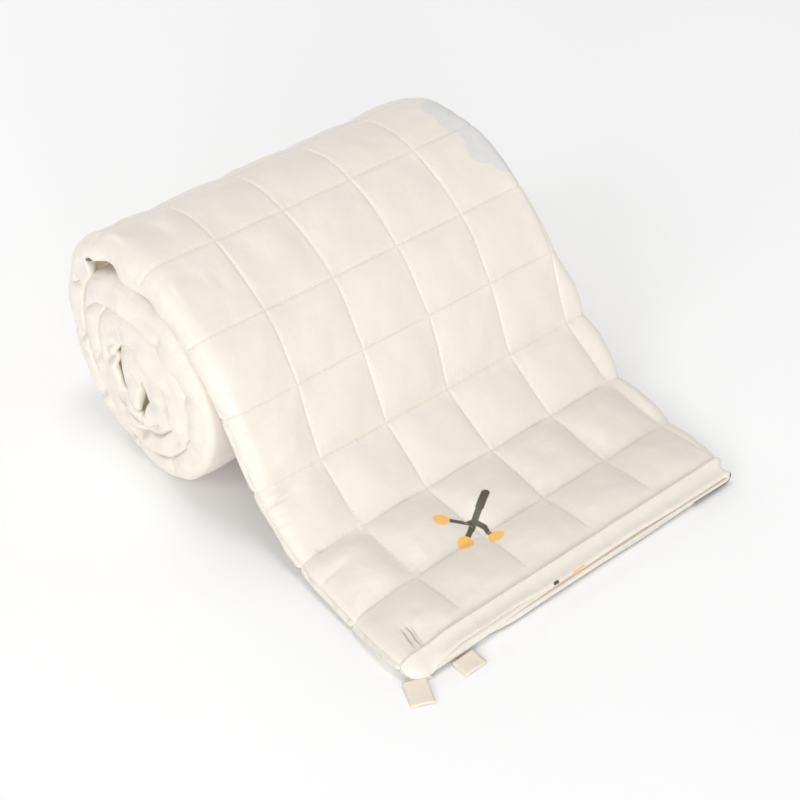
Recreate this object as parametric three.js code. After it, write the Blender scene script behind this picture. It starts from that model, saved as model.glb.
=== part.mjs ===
// Quilted weighted blanket: folded lengthwise into four layers, rolled up, with its
// last rows laid out in front as a flap, and two cover loops at the hem corners.
// Units are millimetres. +X runs along the roll, +Y from the hem to the roll, +Z up.
import * as THREE from 'three';

// ---- Driving dimensions -------------------------------------------------------
const CELL = 50;                // pitch of the quilting grid
const BORDER = 11.8;            // hem seam to cloth edge
const EDGE_SET_IN = 28;         // the second open edge stops this much short
const LAYERS = 4;               // layers in the folded pack
const GAP = 0.5;                // air between neighbouring layers
const TURN_GAP = 1.7;           // air between neighbouring turns of the roll
const SEAM_DROP = 0.6;          // how far a seam sinks into its layer, in layer depths
const HEM_PLUMPNESS = 0.55;     // layer thickness at a rounded end edge
const STEPS_PER_CELL = 2;       // stations along the blanket in each cell

// Roll: centre of the turns, thickness lost per turn, and how the weight settles.
const ROLL_CENTRE = { y: 231, z: 75 };
const TURN_PITCH = 19.2;
const SETTLE = 0.06;
const ROLL_END_ANGLE = 1170;
const CORE_ANGLE = 850;         // from here the pack is less pressed
const CORE_LOFT = 1.35;
const CORE_CLEAR = 5;          // the innermost layer keeps this far off the centre
const ROLL_LEFT = -53;
const ROLL_RIGHT = 201;
const INNER_TURN_INSET = 2;     // each inner turn ends this much further in

// Loops of flat tape, sewn in at the hem corners.
const TAPE_THICK = 0.8;
const TAPE_PLY_GAP = 0.4;
const TAPE_WIDTH = 15;
const SEWN_GAP = 0.3;

// Flap, hem edge to the top of the roll: one row for each crosswise seam.
// run and rise place the outer face, thick is the depth of the pack, left is the
// open side and right the folded side.
const FLAP_ROWS = [
  { seam: 'edge', run: -11.8, rise: 12.6, thick: 12.6, left: -49, right: 204 },
  { seam: 'hem', run: 0, rise: 15.6, thick: 15.6, left: -49, right: 206 },
  { seam: 'first', run: 42.5, rise: 16.8, thick: 16.8, left: -48, right: 212 },
  { seam: 'second', run: 88.5, rise: 21.6, thick: 17.2, left: -46, right: 216 },
  { seam: 'third', run: 124.4, rise: 45.0, thick: 17.4, left: -45, right: 219 },
  { seam: 'fourth', run: 143.2, rise: 88.4, thick: 18.0, left: -47, right: 208 },
  { seam: 'fifth', run: 173.0, rise: 125.6, thick: 18.2, left: -49, right: 204 },
  { seam: 'sixth', run: 219.4, rise: 149.2, thick: 18.4, left: -51, right: 202 },
];

// Outer turn: radius of the outer face at each angle from the top over the back.
const OUTER_TURN = [
  { angle: -9, radius: 74.9 },
  { angle: 15, radius: 79.0 },
  { angle: 40, radius: 82.5 },
  { angle: 65, radius: 82.0 },
  { angle: 90, radius: 79.5 },
  { angle: 120, radius: 77.5 },
  { angle: 150, radius: 76.0 },
  { angle: 180, radius: 76.5 },
  { angle: 205, radius: 76.0 },
  { angle: 230, radius: 73.5 },
  { angle: 255, radius: 70.5 },
  { angle: 272, radius: 67.0 },
  { angle: 294, radius: 59.5 },
  { angle: 320, radius: 55.5 },
  { angle: 351, radius: 53.2 },
];

// Loops: where each leaves the hem, which way it points, how far it reaches and the
// height it leaves at. The top one comes out from under the top layer's corner.
const LOOPS = [
  { name: 'loop_top', x: -43.5, y: -10.5, turn: -27, reach: 18, root: 6.95 },
  { name: 'loop_under', x: -14.0, y: -12.1, turn: 2, reach: 11, root: 6.8 },
];

// ---- Small helpers --------------------------------------------------------------
const rad = THREE.MathUtils.degToRad;
const lerp = THREE.MathUtils.lerp;

function clothMaterial(color, roughness) {
  return new THREE.MeshStandardMaterial({ color, roughness, metalness: 0 });
}

// Smooth value between the rows of a table.
function tableValue(rows, keyName, valueName, key) {
  const last = rows.length - 1;
  let i = 0;
  while (i < last - 1 && rows[i + 1][keyName] < key) i += 1;
  const before = rows[Math.max(i - 1, 0)];
  const from = rows[i];
  const to = rows[i + 1];
  const after = rows[Math.min(i + 2, last)];
  const span = to[keyName] - from[keyName];
  const t = (key - from[keyName]) / span;
  const slopeIn = (to[valueName] - before[valueName]) / (to[keyName] - before[keyName]);
  const slopeOut = (after[valueName] - from[valueName]) / (after[keyName] - from[keyName]);
  const t2 = t * t;
  const t3 = t2 * t;
  return (2 * t3 - 3 * t2 + 1) * from[valueName] + (t3 - 2 * t2 + t) * span * slopeIn
    + (3 * t2 - 2 * t3) * to[valueName] + (t3 - t2) * span * slopeOut;
}

// ---- Path of the outer face, hem edge to core -----------------------------------
// Depth of the pack at an angle of the roll: thinner underneath, where it carries.
function turnPitch(angle) {
  return TURN_PITCH * (1 + SETTLE * Math.cos(rad(angle)));
}

function rollRadius(angle) {
  const firstTurnEnd = OUTER_TURN[OUTER_TURN.length - 1].angle;
  if (angle <= firstTurnEnd) return tableValue(OUTER_TURN, 'angle', 'radius', angle);
  return rollRadius(angle - 360) - turnPitch(angle);
}

function rollPoint(angle) {
  const radius = rollRadius(angle);
  return new THREE.Vector2(
    ROLL_CENTRE.y + radius * Math.sin(rad(angle)),
    ROLL_CENTRE.z + radius * Math.cos(rad(angle)),
  );
}

// Stations along the flap: each row of the table and one crown between two rows.
function flapStations() {
  const points = FLAP_ROWS.map((row) => new THREE.Vector3(0, row.run, row.rise));
  const onTheRoll = rollPoint(15);
  points.push(new THREE.Vector3(0, onTheRoll.x, onTheRoll.y));
  const curve = new THREE.CatmullRomCurve3(points, false, 'centripetal');
  const stations = [];
  FLAP_ROWS.forEach((row, i) => {
    const next = FLAP_ROWS[i + 1];
    const at = curve.getPoint(i / FLAP_ROWS.length);
    const seam = i > 1;
    const restLayer = i > 0 && i < 4 ? LAYERS - 0.5 : null;
    const { thick, left, right } = row;
    stations.push({ y: at.y, z: at.z, thick, left, right, seam, restLayer });
    if (i === 0 || !next) return;
    const mid = curve.getPoint((i + 0.5) / FLAP_ROWS.length);
    stations.push({
      y: mid.y,
      z: mid.z,
      thick: (thick + next.thick) / 2,
      left: (left + next.left) / 2 - 1,
      right: (right + next.right) / 2 + 1,
      seam: false,
      restLayer: i < 3 ? LAYERS - 0.5 : null,
    });
  });
  stations[0].plump = HEM_PLUMPNESS;
  return stations;
}

// Stations around the roll, about half a cell apart, closer in the small turns.
function rollStations() {
  const stations = [];
  const step = CELL / STEPS_PER_CELL;
  let angle = OUTER_TURN[0].angle;
  let seam = false;
  while (angle < ROLL_END_ANGLE) {
    const arc = Math.min(THREE.MathUtils.radToDeg(step / rollRadius(angle + 8)), 30);
    angle = Math.min(angle + arc, ROLL_END_ANGLE);
    const point = rollPoint(angle);
    const radius = rollRadius(angle);
    const loft = angle > CORE_ANGLE ? CORE_LOFT : 1;
    const thick = Math.min(turnPitch(angle) * loft - TURN_GAP, radius - CORE_CLEAR);
    const restLayer = angle > 150 && angle < 212 ? 0.5 : null;
    const inset = INNER_TURN_INSET * (angle / 360);
    const left = ROLL_LEFT + inset;
    const right = ROLL_RIGHT - inset;
    stations.push({ y: point.x, z: point.y, thick, left, right, seam, restLayer });
    seam = !seam;
  }
  stations[stations.length - 1].plump = HEM_PLUMPNESS;
  return stations;
}

// Unit normals of the path, pointing into the pack.
function addNormals(stations) {
  stations.forEach((station, i) => {
    const before = stations[Math.max(i - 1, 0)];
    const after = stations[Math.min(i + 1, stations.length - 1)];
    const along = new THREE.Vector2(after.y - before.y, after.z - before.z).normalize();
    station.inY = along.y;
    station.inZ = -along.x;
  });
}

// ---- Section of the folded pack --------------------------------------------------
// Middle line of the one cloth that folds back and forth: x across the pack, and
// depth in layers below the outer face. The top layer ends in an open edge, turns
// under at the right, turns back at the left and ends in the second open edge.
function sectionLine(left, right) {
  const line = [];
  const lastSeam = Math.min(4 * CELL, right - 10);
  const seams = [0, CELL, 2 * CELL, 3 * CELL, lastSeam];
  const layer = (depth, xs, skin) => xs.forEach((x) => {
    line.push({ x, depth, turn: 0, skin, seam: seams.includes(x) });
  });
  const fold = (x, from, to, side, skin) => [30, 90, 150].forEach((angle) => {
    const depth = (from + to) / 2 - ((to - from) / 2) * Math.cos(rad(angle));
    const turn = side * (Math.abs(to - from) / 2) * Math.sin(rad(angle));
    line.push({ x, depth, turn, skin, seam: false });
  });
  layer(0.5, [left, left + BORDER, -CELL / 2 + 2], true);
  layer(0.5, [0, 0.5, 1, 1.5, 2, 2.5, 3, 3.5].map((i) => i * CELL), true);
  layer(0.5, [lastSeam], true);
  fold(right - 8, 0.5, 3.5, 1, true);
  layer(3.5, [right - 12, 150, 100, 50, 0, left + 10], true);
  fold(left + 4.5, 3.5, 2.5, -1, false);
  layer(2.5, [left + 10, 75, right - 12], false);
  fold(right - 8, 2.5, 1.5, 1, false);
  layer(1.5, [right - 12, 75, left + EDGE_SET_IN], false);
  return line;
}

// One point of the outline: side 1 is the cloth's outer face, side -1 its inner face.
// The outside of the pack sinks at each seam, but a layer that carries the weight
// stays flat on the floor.
function layerPoint(row, station, side) {
  const pitch = (station.thick + GAP) / LAYERS;
  const resting = station.restLayer !== null && Math.abs(row.depth - station.restLayer) < 0.6;
  const pinched = side === 1 && row.skin && (row.seam || station.seam) && !resting;
  const plump = station.plump ?? 1;
  const reach = side * ((pitch - GAP) / 2) * plump - (pinched ? SEAM_DROP * pitch * plump : 0);
  return {
    x: row.x + row.turn * pitch + row.outX * reach,
    depth: row.depth * pitch - GAP / 2 + row.outDepth * reach,
  };
}

// Direction out of the cloth's outer face at each point of its middle line.
function addSectionNormals(line, pitch) {
  line.forEach((row, i) => {
    const before = line[Math.max(i - 1, 0)];
    const after = line[Math.min(i + 1, line.length - 1)];
    const alongX = after.x + after.turn * pitch - before.x - before.turn * pitch;
    const alongDepth = (after.depth - before.depth) * pitch;
    const length = Math.hypot(alongX, alongDepth);
    row.outX = alongDepth / length;
    row.outDepth = -alongX / length;
  });
}

// Closed outline of the pack at one station, in the order outer face, inner face.
function sectionOutline(station) {
  const pitch = (station.thick + GAP) / LAYERS;
  const line = sectionLine(station.left, station.right);
  addSectionNormals(line, pitch);
  const outer = line.map((row) => layerPoint(row, station, 1));
  const inner = line.map((row) => layerPoint(row, station, -1)).reverse();
  return [...outer, ...inner];
}

// Section point set out from the path, never below the floor.
function placeInPath(point, station) {
  const y = station.y + station.inY * point.depth;
  const z = station.z + station.inZ * point.depth;
  return [point.x, y, Math.max(z, 0)];
}

// ---- Blanket ----------------------------------------------------------------------
// Sections joined in order along the path, and closed at the hem and at the core.
function blanketGeometry() {
  const stations = [...flapStations(), ...rollStations()];
  addNormals(stations);
  stations[0].inY = 0;
  stations[0].inZ = -1;
  const outlines = stations.map(sectionOutline);
  const count = outlines[0].length;
  const positions = outlines.flatMap((outline, i) => (
    outline.flatMap((point) => placeInPath(point, stations[i]))
  ));
  const index = [];
  for (let i = 0; i < stations.length - 1; i += 1) {
    for (let j = 0; j < count; j += 1) {
      const a = i * count + j;
      const b = i * count + ((j + 1) % count);
      index.push(a, b, a + count, b, b + count, a + count);
    }
  }
  const endFace = (i, flip) => {
    for (let j = 0; j < count / 2 - 1; j += 1) {
      const a = i * count + j;
      const b = (i + 1) * count - 1 - j;
      if (flip) index.push(a, a + 1, b, a + 1, b - 1, b);
      else index.push(a, b, a + 1, a + 1, b, b - 1);
    }
  };
  endFace(0, false);
  endFace(stations.length - 1, true);
  const geometry = new THREE.BufferGeometry();
  geometry.setAttribute('position', new THREE.Float32BufferAttribute(positions, 3));
  geometry.setIndex(index);
  return geometry;
}

// ---- Loops --------------------------------------------------------------------------
// Folded tape seen from the side: two plies joined by a round end, falling from the
// hem to the floor.
function loopGeometry(loop) {
  const outerRadius = TAPE_THICK + TAPE_PLY_GAP / 2;
  const innerRadius = TAPE_PLY_GAP / 2;
  const flat = loop.reach - outerRadius;
  const rise = (s) => loop.root * (1 - s) ** 2;
  const ply = (height) => [0, 0.35, 0.7, 1].map((s) => (
    new THREE.Vector2(s * flat, outerRadius + rise(s) + height)
  ));
  const end = (radius) => [60, 30, 0, -30, -60].map((angle) => new THREE.Vector2(
    flat + radius * Math.cos(rad(angle)),
    outerRadius + radius * Math.sin(rad(angle)),
  ));
  const outside = [...ply(outerRadius), ...end(outerRadius), ...ply(-outerRadius).reverse()];
  const inside = [...ply(innerRadius), ...end(innerRadius), ...ply(-innerRadius).reverse()];
  const shape = new THREE.Shape([...outside, ...inside.reverse()]);
  const geometry = new THREE.ExtrudeGeometry(shape, { depth: TAPE_WIDTH, bevelEnabled: false });
  geometry.translate(0, 0, -TAPE_WIDTH / 2);
  geometry.rotateX(Math.PI / 2);
  geometry.rotateZ(-Math.PI / 2 + rad(loop.turn));
  return geometry;
}

// ---- Assembly -------------------------------------------------------------------------
const part = new THREE.Group();
part.name = 'weighted_blanket';

const blanket = new THREE.Mesh(blanketGeometry(), clothMaterial('#f3ece0', 0.6));
blanket.name = 'blanket';
part.add(blanket);

LOOPS.forEach((loop) => {
  const mesh = new THREE.Mesh(loopGeometry(loop), clothMaterial('#f5eedf', 0.8));
  mesh.name = loop.name;
  mesh.position.set(loop.x, loop.y - SEWN_GAP, 0);
  part.add(mesh);
});

// Origin under the middle of the whole thing, on the floor.
const box = new THREE.Box3().setFromObject(part);
const middle = box.getCenter(new THREE.Vector3());
part.position.set(-middle.x, -middle.y, -box.min.z);

export default part;
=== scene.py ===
"""Looks of a quilted weighted blanket, folded into four layers and rolled, with its last rows
laid out in front as a flap and two tape loops at the hem corner.

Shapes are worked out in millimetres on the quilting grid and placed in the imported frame.
The cloth runs along two coordinates, both in quilting squares of 50 mm: "across" follows the
folded width and "along" counts the crosswise seams from the hem edge to the core.
"""
from __future__ import annotations

import logging
import math
from collections.abc import Callable, Sequence
from dataclasses import dataclass, field
from enum import Enum

import bpy
import numpy as np
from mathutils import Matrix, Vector


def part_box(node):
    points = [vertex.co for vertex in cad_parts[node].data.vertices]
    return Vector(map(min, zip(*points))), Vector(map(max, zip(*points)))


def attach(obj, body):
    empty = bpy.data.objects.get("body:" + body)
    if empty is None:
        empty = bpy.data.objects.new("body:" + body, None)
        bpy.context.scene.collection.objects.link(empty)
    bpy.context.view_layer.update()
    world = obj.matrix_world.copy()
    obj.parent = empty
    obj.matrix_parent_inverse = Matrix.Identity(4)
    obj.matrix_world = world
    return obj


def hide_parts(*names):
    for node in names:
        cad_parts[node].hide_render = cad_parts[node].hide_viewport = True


Array = np.ndarray
Rgba = tuple[float, float, float, float]

MM = 0.001
CELL = 50.0
# The unfilled border beyond the hem seam, in millimetres and in squares.
HEM_BORDER = 11.8
HEM_EDGE = 0.236
# The roll's open end stands this far out beyond the first lengthwise seam.
OPEN_END = 53.28
log = logging.getLogger("weighted_blanket")

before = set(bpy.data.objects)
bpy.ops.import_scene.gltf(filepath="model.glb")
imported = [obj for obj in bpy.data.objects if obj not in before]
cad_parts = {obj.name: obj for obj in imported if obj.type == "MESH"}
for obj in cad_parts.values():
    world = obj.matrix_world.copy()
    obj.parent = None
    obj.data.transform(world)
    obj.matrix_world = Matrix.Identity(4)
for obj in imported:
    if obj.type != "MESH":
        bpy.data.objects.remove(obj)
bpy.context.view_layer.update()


# ---- Numbers and curves ---------------------------------------------------------------


def smoothstep(low: float, high: float, x: Array) -> Array:
    """Ease from 0 below low to 1 above high.

    Args:
        low: Where the ease starts.
        high: Where it ends.
        x: Places to ease at.

    Returns:
        Values from 0 to 1.
    """
    t = np.clip((np.asarray(x, float) - low) / (high - low), 0.0, 1.0)
    return t * t * (3.0 - 2.0 * t)


def plateau(rise: tuple[float, float], fall: tuple[float, float], x: Array) -> Array:
    """Ease from 0 up to 1 over one stretch, and back down to 0 over a later one."""
    return smoothstep(*rise, x) * (1.0 - smoothstep(*fall, x))


def natural_spline(knots: Array, values: Array) -> Callable[[Array], Array]:
    """Natural cubic spline through a table.

    Args:
        knots: Rising positions of the rows.
        values: One value for each row.

    Returns:
        A function that gives the smooth value at any positions.
    """
    count = len(knots)
    step = np.diff(knots)
    matrix = np.eye(count)
    right = np.zeros(count)
    for i in range(1, count - 1):
        matrix[i, i - 1 : i + 2] = step[i - 1], 2.0 * (step[i - 1] + step[i]), step[i]
        rise_after = (values[i + 1] - values[i]) / step[i]
        rise_before = (values[i] - values[i - 1]) / step[i - 1]
        right[i] = 6.0 * (rise_after - rise_before)
    bend = np.linalg.solve(matrix, right)

    def value(x: Array) -> Array:
        """Smooth value at x.

        Args:
            x: Positions along the knots.

        Returns:
            One value for each position.
        """
        x = np.clip(np.asarray(x, float), knots[0], knots[-1])
        i = np.clip(np.searchsorted(knots, x, side="right") - 1, 0, count - 2)
        before, after = x - knots[i], knots[i + 1] - x
        cubic = (bend[i] * after**3 + bend[i + 1] * before**3) / (6.0 * step[i])
        left = (values[i] / step[i] - bend[i] * step[i] / 6.0) * after
        return cubic + left + (values[i + 1] / step[i] - bend[i + 1] * step[i] / 6.0) * before

    return value


def rounded(from_edge: Array, radius: float) -> Array:
    """Part of the full thickness at a distance from a rounded edge: hardly any on the edge itself."""
    return np.sqrt(1.0 - np.clip(1.0 - from_edge / radius, 0.0, 1.0) ** 2 + 0.004)


def square_steps(count: int, gather: float) -> Array:
    """Places over one square, from 0 to 1, gathered towards its two seams."""
    t = np.arange(count) / count
    return t - gather * np.sin(2.0 * math.pi * t)


@dataclass(frozen=True)
class Ripple:
    """Uneven surface made of a few crossed waves, the same on every run.

    The wavelength is in the unit of the places that it is read at, and the height in millimetres.
    """

    seed: int
    wavelength: float
    height: float
    waves: int = 9

    def at(self, a: Array, b: Array | float) -> Array:
        """Height of the ripple.

        Args:
            a: First coordinate, in the unit of the wavelength.
            b: Second coordinate, in the same unit.

        Returns:
            Heights in millimetres, above and below zero.
        """
        draw = np.random.RandomState(self.seed)
        total = np.zeros(np.broadcast(a, b).shape)
        for _ in range(self.waves):
            turn = draw.uniform(0.0, 2.0 * math.pi)
            length = self.wavelength * draw.uniform(0.7, 1.5)
            phase = draw.uniform(0.0, 2.0 * math.pi)
            along = (a * math.cos(turn) + b * math.sin(turn)) * 2.0 * math.pi / length
            total = total + np.sin(along + phase)
        return total / math.sqrt(self.waves) * self.height


# ---- Meshes -------------------------------------------------------------------------------


def signed_volume(mesh: bpy.types.Mesh) -> float:
    """Volume of a closed mesh, above zero when its faces look outwards.

    Args:
        mesh: The mesh to measure.

    Returns:
        Volume in cubic metres.
    """
    mesh.calc_loop_triangles()
    corners = np.zeros(len(mesh.loop_triangles) * 3, np.int32)
    mesh.loop_triangles.foreach_get("vertices", corners)
    points = np.zeros(len(mesh.vertices) * 3, np.float32)
    mesh.vertices.foreach_get("co", points)
    a, b, c = points.reshape(-1, 3)[corners.reshape(-1, 3)].transpose(1, 0, 2).astype(float)
    return float(np.einsum("ij,ij->i", a, np.cross(b, c)).sum() / 6.0)


def link_piece(
    name: str, points: Array, faces: Sequence[tuple[int, ...]], cloth: Array | None = None
) -> bpy.types.Object:
    """Make a smooth closed piece, with its faces looking outwards.

    Args:
        name: Name of the piece.
        points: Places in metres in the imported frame.
        faces: Point numbers of each face.
        cloth: Place of each point on the flat cloth in millimetres, for a patterned material.

    Returns:
        The piece, linked to the scene.
    """
    mesh = bpy.data.meshes.new(name)
    mesh.from_pydata([tuple(p) for p in points], [], list(faces))
    mesh.polygons.foreach_set("use_smooth", np.ones(len(faces), bool))
    if cloth is not None:
        layer = mesh.attributes.new("cloth", "FLOAT_VECTOR", "POINT")
        layer.data.foreach_set("vector", cloth.astype(np.float32).ravel())
    mesh.update()
    if signed_volume(mesh) < 0.0:
        mesh.flip_normals()
    piece = bpy.data.objects.new(name, mesh)
    bpy.context.scene.collection.objects.link(piece)
    return piece


# ---- Where the blanket lies --------------------------------------------------------------


@dataclass(frozen=True)
class Layout:
    """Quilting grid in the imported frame: where seam 0 of each direction lies, in millimetres."""

    seam_x: float
    hem_y: float

    @classmethod
    def of_node(cls, node: str) -> Layout:
        """Grid from the box of the blanket's solid: the roll's end and the hem edge are its sides.

        Args:
            node: Name of the blanket's solid.

        Returns:
            The grid in that box.
        """
        low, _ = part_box(node)
        return cls(seam_x=low.x / MM + OPEN_END, hem_y=low.y / MM + HEM_BORDER)

    def place(self, x: Array, y: Array, z: Array) -> Array:
        """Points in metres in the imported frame, from millimetres on the grid."""
        return np.stack([(x + self.seam_x) * MM, (y + self.hem_y) * MM, z * MM], axis=-1)


@dataclass(frozen=True)
class FlapRow:
    """The pack at one crosswise seam of the flap, in millimetres, at the level of its crowns."""

    seam: float
    run: float
    rise: float
    thick: float
    left: float
    right: float


@dataclass(frozen=True)
class WindingPath:
    """Path of the pack's outer face from the hem over the roll to the core."""

    flap: tuple[FlapRow, ...] = (
        FlapRow(-HEM_EDGE, -HEM_BORDER, 12.8, 12.8, -49.0, 204.0),
        FlapRow(0.0, 0.0, 16.2, 16.2, -50.0, 206.0),
        FlapRow(1.0, 42.5, 16.8, 16.8, -49.0, 212.0),
        FlapRow(2.0, 88.5, 21.6, 17.2, -47.0, 216.0),
        FlapRow(3.0, 124.4, 45.0, 17.4, -46.0, 219.0),
        FlapRow(4.0, 143.2, 88.4, 18.0, -48.0, 208.5),
        FlapRow(5.0, 173.0, 125.6, 18.2, -50.0, 204.5),
        FlapRow(6.0, 219.4, 149.2, 18.4, -52.0, 202.5),
    )
    # Outer turn: angle from the top over the back, and radius of the outer face.
    turn: tuple[tuple[float, float], ...] = (
        (-9.0, 74.9), (15.0, 79.0), (40.0, 82.5), (65.0, 82.0), (90.0, 79.5), (120.0, 77.5),
        (150.0, 76.0), (180.0, 76.5), (205.0, 76.0), (230.0, 73.5), (255.0, 70.5),
        (272.0, 67.0), (294.0, 60.5), (320.0, 56.5), (351.0, 53.0),
    )
    centre_y: float = 231.0
    centre_z: float = 75.0
    # One turn is this deep on average, sinks by the second number under its own weight, and
    # leaves the third free below it.
    pitch: float = 17.65
    sink: float = 4.35
    clear: float = 0.9
    end_angle: float = 1227.0
    # The last turn swells in until only a narrow slit is left open: its middle and half sizes.
    core_angle: float = 862.0
    slit_y: float = 231.0
    slit_z: float = 51.0
    slit_half_width: float = 2.0
    slit_half_height: float = 11.0
    # Crosswise seams lie this far apart on the outer face, before and after this angle. Deep in
    # the roll the outer face is longer than the middle of the pack, which lies core_reach inside.
    row_pitch: float = 53.0
    inner_row_pitch: float = 47.5
    pitch_change: float = 70.0
    core_reach: float = 9.0
    # Ends of the roll, and how much each turn's ends lie inside the last one's: below zero, they
    # stand out.
    roll_left: float = -53.0
    roll_right: float = 201.5
    turn_inset: float = -0.4
    # Knots of the path's table lie this many degrees apart at most. Far from the middle they are
    # closer together: the second number over the distance in millimetres gives the degrees.
    knot_turn: float = 24.0
    knot_reach: float = 900.0

    def turn_pitch(self, angle: float) -> float:
        """Depth that one turn takes up: less underneath, where the weight presses."""
        return self.pitch + self.sink * math.cos(math.radians(angle))

    def point(self, angle: float) -> tuple[float, float]:
        """Place of the outer face at an angle of the winding: each turn lies inside the last one.

        Args:
            angle: Degrees wound from the top of the roll over its back.

        Returns:
            Distance from the hem seam and height over the floor, in millimetres.
        """
        sine, cosine = math.sin(math.radians(angle)), math.cos(math.radians(angle))
        if angle <= self.turn[-1][0]:
            angles, radii = zip(*self.turn)
            radius = float(natural_spline(np.array(angles), np.array(radii))(np.array(angle)))
            return self.centre_y + radius * sine, self.centre_z + radius * cosine
        y, z = self.point(angle - 360.0)
        return y - self.pitch * sine, z - self.pitch * cosine - self.sink

    def rows(self) -> Array:
        """Table of the whole path.

        Returns:
            Rows of seam number, y, z, thickness, left and right end of the pack, and angle.
        """
        table = [[r.seam, r.run, r.rise, r.thick, r.left, r.right, -90.0] for r in self.flap]
        table[-1][6] = self.turn[0][0]
        seam, angle = self.flap[-1].seam, self.turn[0][0]
        last_knot = angle
        here = self.point(angle)
        while angle < self.end_angle:
            angle += 1.0
            ahead = self.point(angle)
            radius = math.hypot(ahead[0] - self.centre_y, ahead[1] - self.centre_z)
            inner = float(smoothstep(330.0, 400.0, np.array(angle)))
            pitch = self.row_pitch if angle < self.pitch_change else self.inner_row_pitch
            pitch *= 1.0 + inner * self.core_reach / max(radius - self.core_reach, 12.0)
            seam += math.hypot(ahead[0] - here[0], ahead[1] - here[1]) / pitch
            here = ahead
            step = min(self.knot_turn, self.knot_reach / max(radius, 30.0))
            if angle - last_knot >= step or angle >= self.end_angle:
                last_knot = angle
                table.append([seam, *self._turn_row(angle)])
        return np.array(table)

    def _room(self, angle: float) -> float:
        """Room under the outer face down to the next turn.

        Args:
            angle: Angle of the winding, in degrees.

        Returns:
            Room in millimetres.
        """
        if angle > self.core_angle:
            return self.turn_pitch(angle)
        y, z = self.point(angle)
        below = [self.point(angle + 360.0 + turn) for turn in range(-50, 51, 2)]
        return min(math.hypot(y - b[0], z - b[1]) for b in below)

    def to_slit(self, angle: Array, y: Array, z: Array) -> tuple[Array, Array, Array]:
        """Way from the last turn's outer face to the open slit.

        Args:
            angle: Angle of the winding.
            y: Place of the outer face.
            z: Height of the outer face.

        Returns:
            The two parts of the way in millimetres, and how much it counts, from 0 to 1.
        """
        to_y = self.slit_y + self.slit_half_width * np.sin(np.radians(angle)) - y
        to_z = self.slit_z + self.slit_half_height * np.cos(np.radians(angle)) - z
        return to_y, to_z, smoothstep(self.core_angle - 3.0, self.core_angle + 24.0, angle)

    def _turn_row(self, angle: float) -> list[float]:
        """Place, thickness and ends of the pack at one angle of the winding.

        Args:
            angle: Angle of the winding, in degrees.

        Returns:
            The row of the path there, but for its seam number.
        """
        y, z = self.point(angle)
        # The two ends of the roll stand a little uneven from turn to turn.
        turns = angle / 360.0
        return [
            y,
            z,
            self._room(angle) - self.clear,
            self.roll_left + self.turn_inset * turns + 0.5 * math.sin(2.3 * turns + 0.6),
            self.roll_right - self.turn_inset * turns - 1.6 * math.sin(2.9 * turns + 1.0),
            angle,
        ]


# ---- The hem edges -----------------------------------------------------------------------------


@dataclass(frozen=True)
class HemLip:
    """Shape of one layer's edge at the hem, at the places of HEM_PLACES, in millimetres.

    Low and high are its heights over the floor, and back is how far it stands behind the front.
    """

    low: tuple[float, ...]
    high: tuple[float, ...]
    back: tuple[float, ...]

    def at(self, x: Array) -> tuple[Array, Array, Array]:
        """Lower height, upper height and set-back at places along the hem.

        Args:
            x: Places along the hem, in millimetres.

        Returns:
            The three at each place, in millimetres.
        """
        low, high, back = (np.interp(x, HEM_PLACES, row) for row in (self.low, self.high, self.back))
        return low, high, back


HEM_PLACES = (-60, -45, -34, -31, -23, -15, 6, 14, 20, 30, 38, 48, 60, 143, 160, 204)
TOP_LIP = HemLip(
    (3.4, 3.4, 2.2, 6.6, 8.9, 9.8, 9.8, 9.6, 9.8, 10.0, 9.4, 8.2, 7.4, 7.2, 6.3, 6.2),
    (6.6, 6.8, 6.8, 9.8, 11.6, 12.2, 12.2, 12.1, 12.3, 12.4, 12.2, 11.6, 11.0, 10.8, 10.4, 10.2),
    (0.0, 0.0, 0.0, 0.1, 0.5, 1.3, 1.4, 1.4, 1.5, 1.8, 1.8, 1.2, 0.7, 0.6, 0.5, 0.5),
)
SECOND_LIP = HemLip(
    (0.6, 0.6, 0.6, 0.6, 0.6, 0.6, 0.6, 3.8, 6.9, 7.3, 7.4, 6.6, 6.4, 6.4, 6.4, 6.4),
    (4.0, 4.2, 5.0, 6.0, 8.2, 9.0, 9.0, 8.9, 9.1, 9.2, 8.7, 7.6, 6.9, 6.8, 6.8, 6.8),
    (2.0, 1.5, 0.8, 0.3, 0.2, 0.2, 0.2, 0.2, 0.3, 0.5, 1.6, 3.6, 4.2, 4.2, 4.2, 4.2),
)
THIRD_LIP = HemLip((3.4,) * 16, (5.8,) * 16, (4.4,) * 16)
BOTTOM_LIP = HemLip(
    (0.4,) * 16,
    (2.8, 2.8, 2.8, 2.8, 2.8, 2.8, 2.8, 3.4, 6.3, 6.9, 7.1, 7.2, 7.1, 7.0, 6.7, 6.6),
    (4.2, 4.2, 4.2, 4.2, 4.2, 4.2, 3.8, 1.0, 0.2, 0.0, 0.0, 0.0, 0.0, 0.0, 0.0, 0.0),
)


# ---- The folded pack -------------------------------------------------------------------------


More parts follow.
